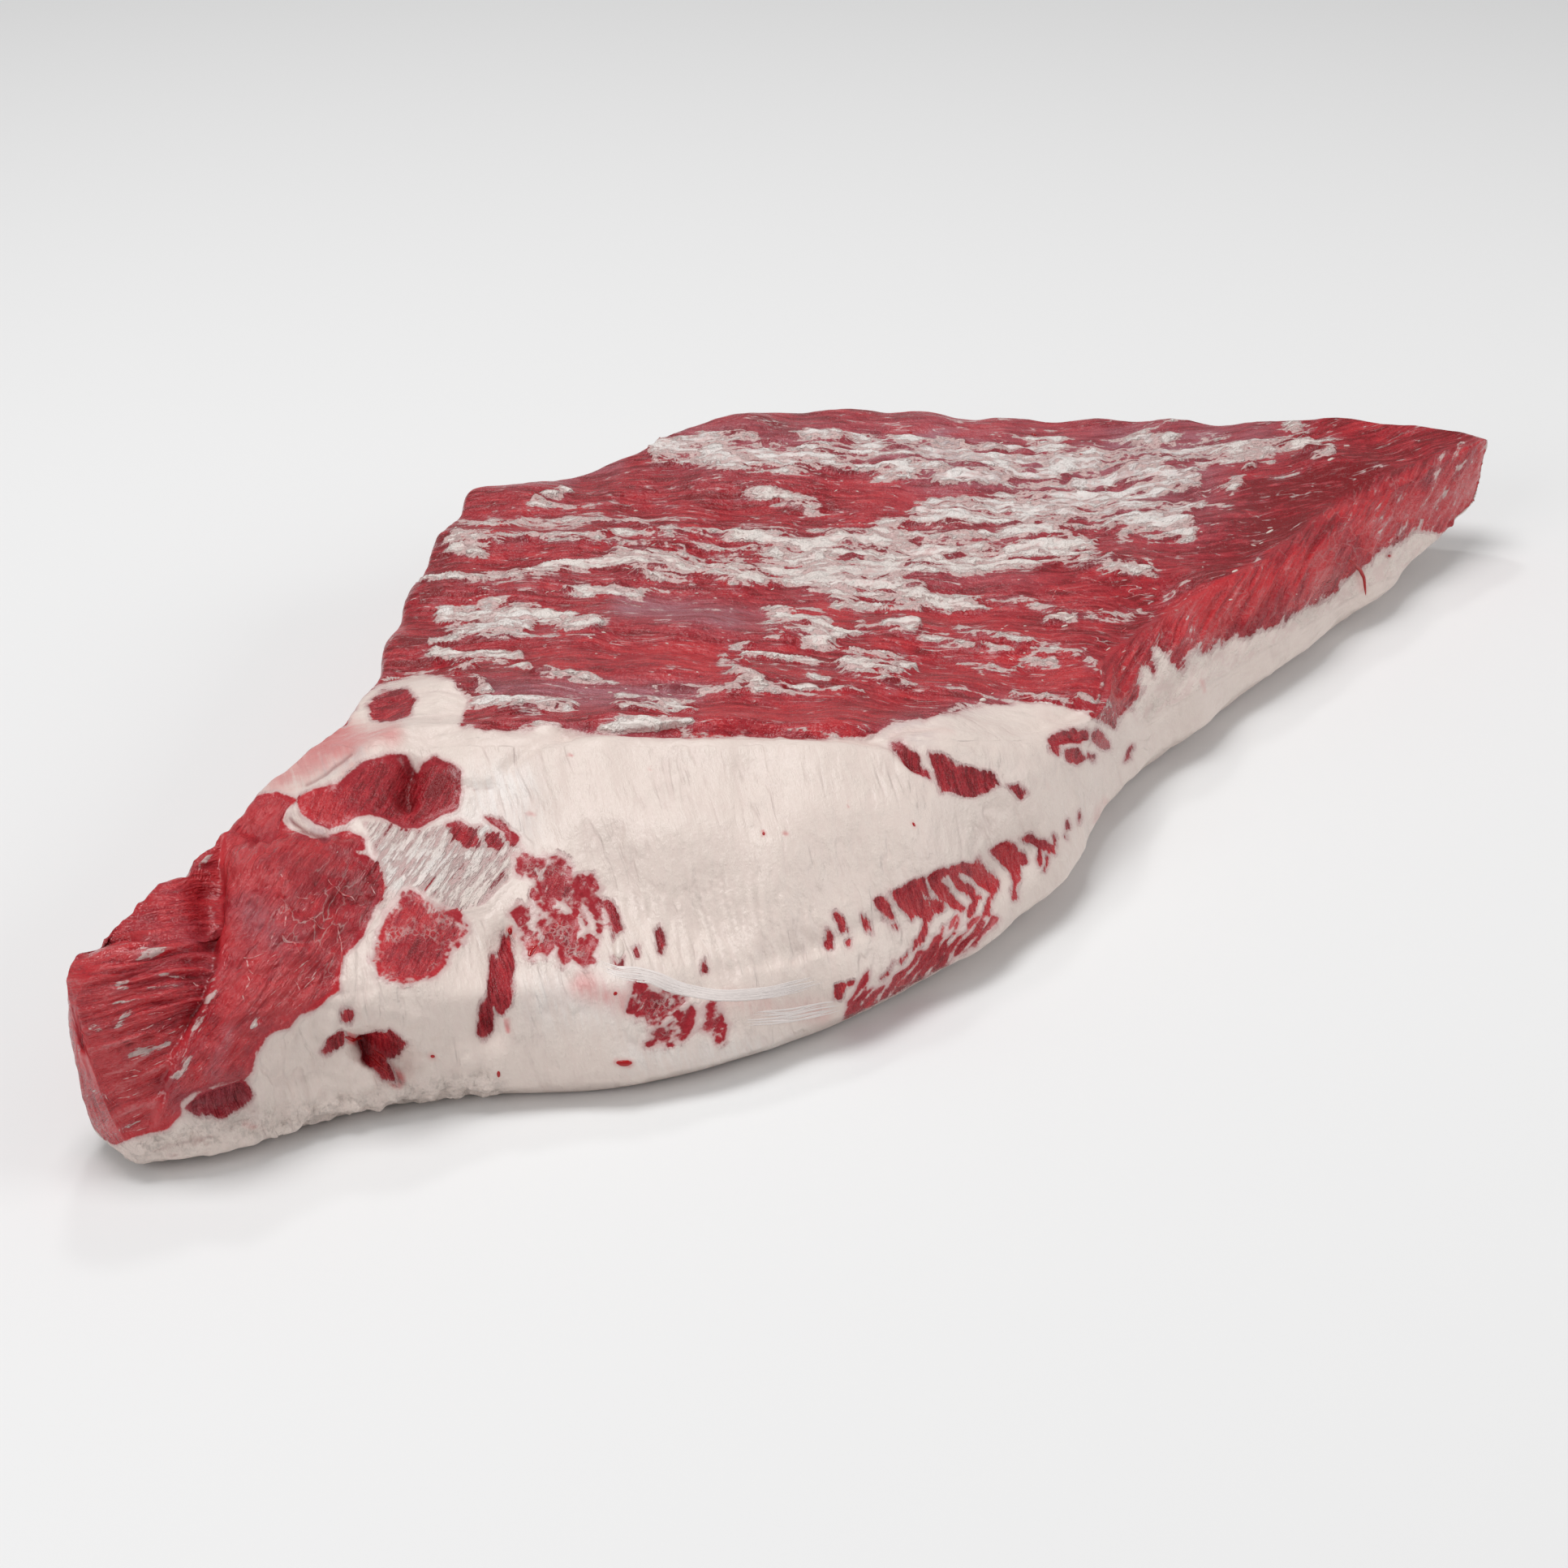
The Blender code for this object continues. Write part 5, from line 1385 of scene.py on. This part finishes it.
        # Where the tone runs past 1 the lean turns pale: a painted highlight on the wave crests and the
        # bright bands
        pale = self.math("MAXIMUM", pale, self.span(tone, 1.0, 1.8, 0.0, 0.75))
        lean = self.mix(pale, lean, colours.pale_lean)
        veil = self.times(self.film, self.span(self.streaks, -0.14, 0.10, 0.35, 1.0))
        soft_edge = self.times(self.veiled, self.rag, self.span(self.tufts, -0.12, 0.12, 0.0, 0.28))
        lean = self.mix(self.math("MAXIMUM", veil, soft_edge), lean, colours.silverskin)
        seams = self.math("ABSOLUTE", self.fibres((0.0065, 0.085, 0.05), 3.0, 0.5))
        seams = self.times(self.span(seams, 0.002, 0.012, 1.0, 0.0),
                           self.span(self.tufts, -0.02, 0.10), self.calm,
                           self.span(self.rag, 0.3, 0.9, 0.0, 0.5),
                           self.span(self.sleek, 0.0, 1.0, 1.0, 0.3))
        lean = self.mix(seams, lean, colours.grey_fat)
        return self.mix(self.times(self.net_lines, 0.7), lean, colours.thin_fat_and_shade)

    def fat_colour(self):
        """Cream fat: grey under skin, misted by silverskin, thin at its edges, with painted shade in the
        hollows between its lumps, in its pleats and in the crevices of the crumbly rim, and stained by
        blood.
        """
        colours = self.colours
        shaded = self.span(self.blend(blotches=1.0, lobules=0.6), -0.05, 0.40)
        fat = self.mix(shaded, colours.fat, darker(colours.fat, 0.90))
        greyed = self.times(self.grey, self.span(self.streaks, -0.15, 0.10, 0.4, 1.0))
        fat = self.mix(greyed, fat, colours.grey_fat)
        misted = self.span(self.blend(streaks=1.0, tufts=0.7), -0.12, 0.12, 0.9, 0.1)
        fat = self.mix(self.times(self.film, misted), fat, colours.misted_fat)
        # Painted shade in the hollows between the lumps of fat; blush is the fat growing thin near its
        # edges
        hollow_shade = self.blend(tufts=1.0, shreds=0.7, streaks=0.7, threads=0.5)
        hollow_shade = self.math("MAXIMUM", self.span(hollow_shade, -0.16, 0.10, 1.0, 0.0),
                           self.span(self.puffs, 0.0, 0.035, 0.35, 0.0))
        blush = self.span(self.edge, 1.0, 12.0, 0.35, 0.0)
        thin_edge_and_hollow_shade = self.math("MAXIMUM", self.times(hollow_shade, self.rag, 0.9), blush)
        fat = self.mix(thin_edge_and_hollow_shade, fat, colours.thin_fat_and_shade)
        # Painted shade in the pleats
        fat = self.mix(self.times(self.pleats, 0.10), fat, colours.thin_fat_and_shade)
        # Painted shade in the crevices of the crumbly rim
        crevice_shade = self.span(self.blend(lobules=1.0, specks=0.4), -0.14, 0.04, 0.55, 0.0)
        fat = self.mix(self.times(self.crumb, crevice_shade), fat, darker(colours.fat, 0.55))
        soak = self.span(self.blend(blotches=0.6, streaks=0.4), -0.15, 0.1, 0.5, 1.0)
        soak = self.times(self.stain, soak)
        fat = self.mix(self.span(soak, 0.08, 0.6), fat, colours.pink_fat)
        return self.mix(self.span(soak, 0.6, 1.1), fat, colours.bright_lean)

    def wet_gloss(self):
        """Wet shine: sharper on the sleek lobes, duller on fat."""
        rough = self.sum((self.opaque, 0.10), (self.threads, 0.25), (self.specks, 0.35), (0.27, 1.0))
        rough = self.math("SUBTRACT", rough, self.times(self.sleek, 0.12))
        self.join(rough, self.surface.inputs["Roughness"])
        shine = self.span(self.sleek, 0.0, 1.0, 0.34, 0.52)
        self.join(shine, self.surface.inputs["Specular IOR Level"])

    def relief(self):
        """Fine relief in millimetres: tufts and threads, steps and puffs of fat, crumbs and pleats."""
        ragged = self.span(self.blend(rag=1.0, opaque=-1.0), -1.0, 0.0, 0.12, 1.0)
        coarse = self.times(self.blend(tufts=1.8, shreds=0.9, streaks=0.7), ragged)
        fine = self.times(self.threads, self.span(self.opaque, 0.0, 1.0, 0.40, 0.10))
        steps = self.times(self.blend(thin=0.12, opaque=0.22), self.rag)
        crumbs = self.times(self.crumb, self.blend(lobules=1.8, specks=0.3))
        height = self.sum((coarse, 1.0), (fine, 1.0), (steps, 1.0), (self.lobules, 0.40),
                          (self.specks, 0.10), (crumbs, 1.0),
                          (self.times(self.puffs, self.rag, self.opaque), 2.0),
                          (self.net_lines, 0.08), (self.times(self.pleats, self.opaque), -0.35))
        self.bump(height, MILLI, 0.9)


def plain_material(name, base, roughness, speckle, other=None):
    """One colour that varies a little in lumps, or breaks into another colour, for small pieces."""
    mat = Shader(name)
    lumps = mat.noise(mat.place(), 700.0, 4.0)
    share = mat.span(lumps, 0.40, 0.62) if other else lumps
    second = tuple(other) if other else darker(base, 1 - speckle)
    mat.join(mat.mix(share, tuple(base), second), mat.surface.inputs["Base Color"])
    mat.surface.inputs["Roughness"].default_value = roughness
    mat.bump(lumps, 0.0003, 0.5)
    return mat.material


def add_piece(context, name, mesh, material):
    """Put a finished mesh in the scene, riding on the cut's one body."""
    piece = bpy.data.objects.new(name, mesh)
    context.scene.collection.objects.link(piece)
    mesh.materials.append(material)
    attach(piece, BODY)
    return piece


built = {}                   # the skin's arrays, kept for the small pieces that lie on it


class BRISKET_OT_skin(bpy.types.Operator):
    """Build the skin as four closed pieces: cut side, two halves of the lean face, cap's underside"""
    bl_idname = "brisket.skin"
    bl_label = "Brisket Skin"

    def execute(self, context):
        skin = Skin(context.scene.brisket_sizes)
        built["skin"] = skin
        material = MeatFinish(context.scene.brisket_colours).material
        for name in ROWS:
            piece = add_piece(context, name, piece_mesh(name, skin), material)
            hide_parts(NODE)
        return {"FINISHED"}


def on_skin(skin, pixels):
    """Point and normal of the skin under each photo pixel: nearby grid points, averaged by nearness."""
    near = (skin.spots > pixels.min(axis=0) - 12) & (skin.spots < pixels.max(axis=0) + 12)
    near = np.all(near, axis=-1) & (skin.shown > 0.3)
    apart = np.linalg.norm(pixels[:, None] - skin.spots[near][None], axis=-1)
    weights = np.exp(-(apart / 3.0) ** 2) + 1e-12
    weights /= weights.sum(axis=1, keepdims=True)
    return weights @ skin.points[near], unit(weights @ skin.normals[near])


def strand(skin, pixels, half_widths, heights, sides=8):
    """An oval ring carried along a path on the skin: width across it, height square to it."""
    points, normals = on_skin(skin, pixels)
    along = unit(np.gradient(points, axis=0))
    across = unit(np.cross(normals, along))
    turn = np.linspace(0, 2 * np.pi, sides, endpoint=False)
    rings = (points[:, None] + (half_widths[:, None] * np.cos(turn))[..., None] * across[:, None]
             + (heights[:, None] * np.sin(turn))[..., None] * normals[:, None])
    index = np.arange(len(points) * sides).reshape(-1, sides)
    beside = np.roll(index, -1, axis=1)
    quads = np.stack([index[:-1], beside[:-1], beside[1:], index[1:]], axis=-1).reshape(-1, 4)
    tips = len(points) * sides + np.arange(2)
    start = [(tips[0], second, first) for first, second in zip(index[0], beside[0])]
    end = [(tips[1], first, second) for first, second in zip(index[-1], beside[-1])]
    vertices = np.concatenate([rings.reshape(-1, 3), points[:1], points[-1:]])
    return vertices, quads.tolist() + start + end


def rounded_ends(count, fullness=0.5):
    """Shares along a path and how thick it is there: full in the middle and drawn in to both ends."""
    share = (1 - np.cos(np.linspace(0.08, np.pi - 0.08, count))) / 2
    return share, (4 * share * (1 - share)) ** fullness


def joined(name, parts):
    """One mesh of many closed parts."""
    vertices, faces, first = [], [], 0
    for points, sides in parts:
        vertices.append(points)
        faces += [tuple(int(corner) + first for corner in side) for side in sides]
        first += len(points)
    mesh = bpy.data.meshes.new(name)
    mesh.from_pydata(np.concatenate(vertices).tolist(), [], faces)
    mesh.shade_smooth()
    return mesh


def along_line(line, share):
    """Places along a line of photo pixels, at shares of its length, its corners eased."""
    line = np.array(line, float)
    reach = np.concatenate([[0], np.cumsum(np.linalg.norm(np.diff(line, axis=0), axis=1))])
    eased = np.linspace(0, 1, 200)
    path = np.stack([np.interp(eased * reach[-1], reach, line[:, axis]) for axis in (0, 1)], axis=-1)
    for _turn in range(40):
        path[1:-1] = (path[:-2] + 2 * path[1:-1] + path[2:]) / 4
    return np.stack([np.interp(share, eased, path[:, axis]) for axis in (0, 1)], axis=-1)


def add_strands(context, name, parts, material):
    """Put many closed parts in the scene as one piece."""
    add_piece(context, name, joined(name, parts), material)


class BRISKET_OT_sinew(bpy.types.Operator):
    """Lay the strands of sinew along the foot of the kernel fat"""
    bl_idname = "brisket.sinew"
    bl_label = "Sinew"

    def execute(self, context):
        skin, colours = built["skin"], context.scene.brisket_colours
        width = context.scene.brisket_sizes.strand_width
        draw = np.random.default_rng(3)
        parts = []
        for upper, lower, count, thickness in SINEWS:
            for place in np.linspace(0, 1, count):
                share, full = rounded_ends(44)
                start, end = draw.uniform(0, 0.35) * draw.uniform(0, 1), draw.uniform(0.8, 1.0)
                share = start + share * (end - start)
                sway = draw.uniform(-0.12, 0.12)
                sway = sway * np.sin(share * draw.uniform(5, 12) + draw.uniform(0, 6))
                mix = np.clip(place + sway, 0, 1)[:, None]
                pixels = along_line(upper, share) * (1 - mix) + along_line(lower, share) * mix
                size = width * thickness * draw.uniform(0.6, 1.2) * full
                parts.append(strand(skin, pixels, size, 0.4 * size))
        material = plain_material("sinew", colours.sinew, 0.3, 0.12)
        add_strands(context, "sinew_strands", parts, material)
        return {"FINISHED"}


class BRISKET_OT_veins_and_glints(bpy.types.Operator):
    """Lay the fine white lines on the lean, those on the point end partly painted glints"""
    bl_idname = "brisket.veins"
    bl_label = "White Veins and Glints"

    def execute(self, context):
        skin, colours = built["skin"], context.scene.brisket_colours
        draw = np.random.default_rng(9)
        parts = []
        for half, *line in VEINS_AND_GLINTS:
            share, full = rounded_ends(31, 0.35)
            uneven = 1 + 0.35 * np.sin(share * draw.uniform(8, 20) + draw.uniform(0, 6))
            size = VEIN_SHARE * half / PIXELS_PER_MM * MILLI * full * uneven
            parts.append(strand(skin, along_line(line, share), size, 0.35 * size))
        material = plain_material("white_veins_and_glints", colours.vein_and_glint, 0.3, 0.25, colours.bright_lean)
        add_strands(context, "white_veins_and_glints", parts, material)
        return {"FINISHED"}


class BRISKET_OT_crumbs(bpy.types.Operator):
    """Set the bead and the crumbs of fat on the cut"""
    bl_idname = "brisket.crumbs"
    bl_label = "Crumbs of Fat"

    def execute(self, context):
        skin, colours = built["skin"], context.scene.brisket_colours
        draw = np.random.default_rng(5)
        crumbs = list(CRUMBS)
        for x0, y0, x1, y1, count in CRUMB_AREAS:
            ranges = ((x0, x1), (y0, y1), (1.0, 3.4), (0.6, 1.3))
            crumbs += [[draw.uniform(*limits) for limits in ranges] for _turn in range(count)]
        parts = []
        for x, y, reach, half in crumbs:
            share, full = rounded_ends(9)
            turn = draw.uniform(-0.5, 0.3)
            way = np.array((math.cos(turn), math.sin(turn))) * reach
            pixels = np.array((x, y)) + (2 * share - 1)[:, None] * way
            size = half / PIXELS_PER_MM * MILLI * full
            parts.append(strand(skin, pixels, size, 0.8 * size, 6))
        share, full = rounded_ends(17)
        width, height = (measure * MILLI * full for measure in BEAD_SIZE)
        parts.append(strand(skin, along_line(BEAD, share), width, height, 16))
        material = plain_material("fat_crumbs", colours.fat, 0.3, 0.1)
        add_strands(context, "fat_crumbs", parts, material)
        return {"FINISHED"}


class BRISKET_OT_blood(bpy.types.Operator):
    """Set the drips and spots of blood on the cut"""
    bl_idname = "brisket.blood"
    bl_label = "Blood"

    def execute(self, context):
        skin, colours = built["skin"], context.scene.brisket_colours
        parts = []
        for half, *line in BLOOD:
            share, full = rounded_ends(21)
            size = half / PIXELS_PER_MM * MILLI * full
            height = np.minimum(0.5 * size, BLOOD_HEIGHT * MILLI)
            parts.append(strand(skin, along_line(line, share), size, height, 10))
        material = plain_material("blood", colours.blood, 0.12, 0.2)
        add_strands(context, "blood_spots", parts, material)
        return {"FINISHED"}


class BRISKET_OT_stage(bpy.types.Operator):
    """Add the pale floor, the soft lights and the camera of the photo's view"""
    bl_idname = "brisket.stage"
    bl_label = "Stage"

    def execute(self, context):
        colours = context.scene.brisket_colours
        floor_mesh = bpy.data.meshes.new("floor")
        square = ((-1, -1), (1, -1), (1, 1), (-1, 1))
        corners = [(x * FLOOR_REACH, y * FLOOR_REACH, LOW[2]) for x, y in square]
        floor_mesh.from_pydata(corners, [], [(0, 1, 2, 3)])
        floor = bpy.data.objects.new("floor", floor_mesh)
        context.scene.collection.objects.link(floor)
        paint = Shader("pale_floor")
        paint.surface.inputs["Base Color"].default_value = (*colours.floor, 1.0)
        paint.surface.inputs["Roughness"].default_value = 0.9
        floor_mesh.materials.append(paint.material)
        context.scene.view_settings.view_transform = "Standard"
        for light in LIGHTS:
            self.light(context, *light)
        world = context.scene.world or bpy.data.worlds.new("studio")
        context.scene.world = world
        world.use_nodes = True
        world.node_tree.nodes["Background"].inputs["Color"].default_value = (1.0, 1.0, 1.0, 1.0)
        world.node_tree.nodes["Background"].inputs["Strength"].default_value = 0.30
        lens = bpy.data.cameras.new("view")
        lens.lens = PHOTO_LENS
        lens.sensor_width = SENSOR
        lens.clip_start = 0.01
        camera = bpy.data.objects.new("view", lens)
        camera.location = np.array(VIEW_AIM) - view_axes()[2] * VIEW_DISTANCE
        camera.rotation_euler = (math.pi / 2 - VIEW_DROP, 0.0, VIEW_TURN)
        context.scene.collection.objects.link(camera)
        bpy.context.scene.camera = camera
        return {"FINISHED"}

    @staticmethod
    def light(context, name, place, side, power):
        """A square soft light that faces the cut."""
        lamp = bpy.data.lights.new(name, "AREA")
        lamp.size = side
        lamp.energy = power
        lamp_object = bpy.data.objects.new(name, lamp)
        away = np.array(place)
        lamp_object.location = place
        turn = math.atan2(away[0], -away[1])
        lamp_object.rotation_euler = (math.atan2(math.hypot(away[0], away[1]), away[2]), 0.0, turn)
        context.scene.collection.objects.link(lamp_object)


class BRISKET_PT_panel(bpy.types.Panel):
    """The settings and the buttons that build the cut"""
    bl_idname = "BRISKET_PT_panel"
    bl_label = "Raw Brisket"
    bl_space_type = "VIEW_3D"
    bl_region_type = "UI"
    bl_category = "Brisket"

    def draw(self, context):
        layout = self.layout
        for group in (context.scene.brisket_sizes, context.scene.brisket_colours):
            box = layout.box()
            for label in group.__annotations__:
                box.prop(group, label)
        for operator in OPERATORS:
            layout.operator(operator.bl_idname)


GROUPS = (BrisketSizes, BrisketColours)
OPERATORS = (BRISKET_OT_skin, BRISKET_OT_sinew, BRISKET_OT_veins_and_glints, BRISKET_OT_crumbs, BRISKET_OT_blood,
             BRISKET_OT_stage)
CLASSES = GROUPS + OPERATORS + (BRISKET_PT_panel,)


def register():
    """Register the classes and hang the settings on the scene."""
    for item in CLASSES:
        bpy.utils.register_class(item)
    bpy.types.Scene.brisket_sizes = bpy.props.PointerProperty(type=BrisketSizes)
    bpy.types.Scene.brisket_colours = bpy.props.PointerProperty(type=BrisketColours)


def unregister():
    """Take the settings and the classes away again."""
    del bpy.types.Scene.brisket_colours
    del bpy.types.Scene.brisket_sizes
    for item in reversed(CLASSES):
        bpy.utils.unregister_class(item)


def main():
    """Register the add-on, build every piece and set up the stage."""
    register()
    bpy.ops.brisket.skin()
    bpy.ops.brisket.sinew()
    bpy.ops.brisket.veins()
    bpy.ops.brisket.crumbs()
    bpy.ops.brisket.blood()
    bpy.ops.brisket.stage()
    bpy.context.view_layer.update()


if __name__ == "__main__":
    main()
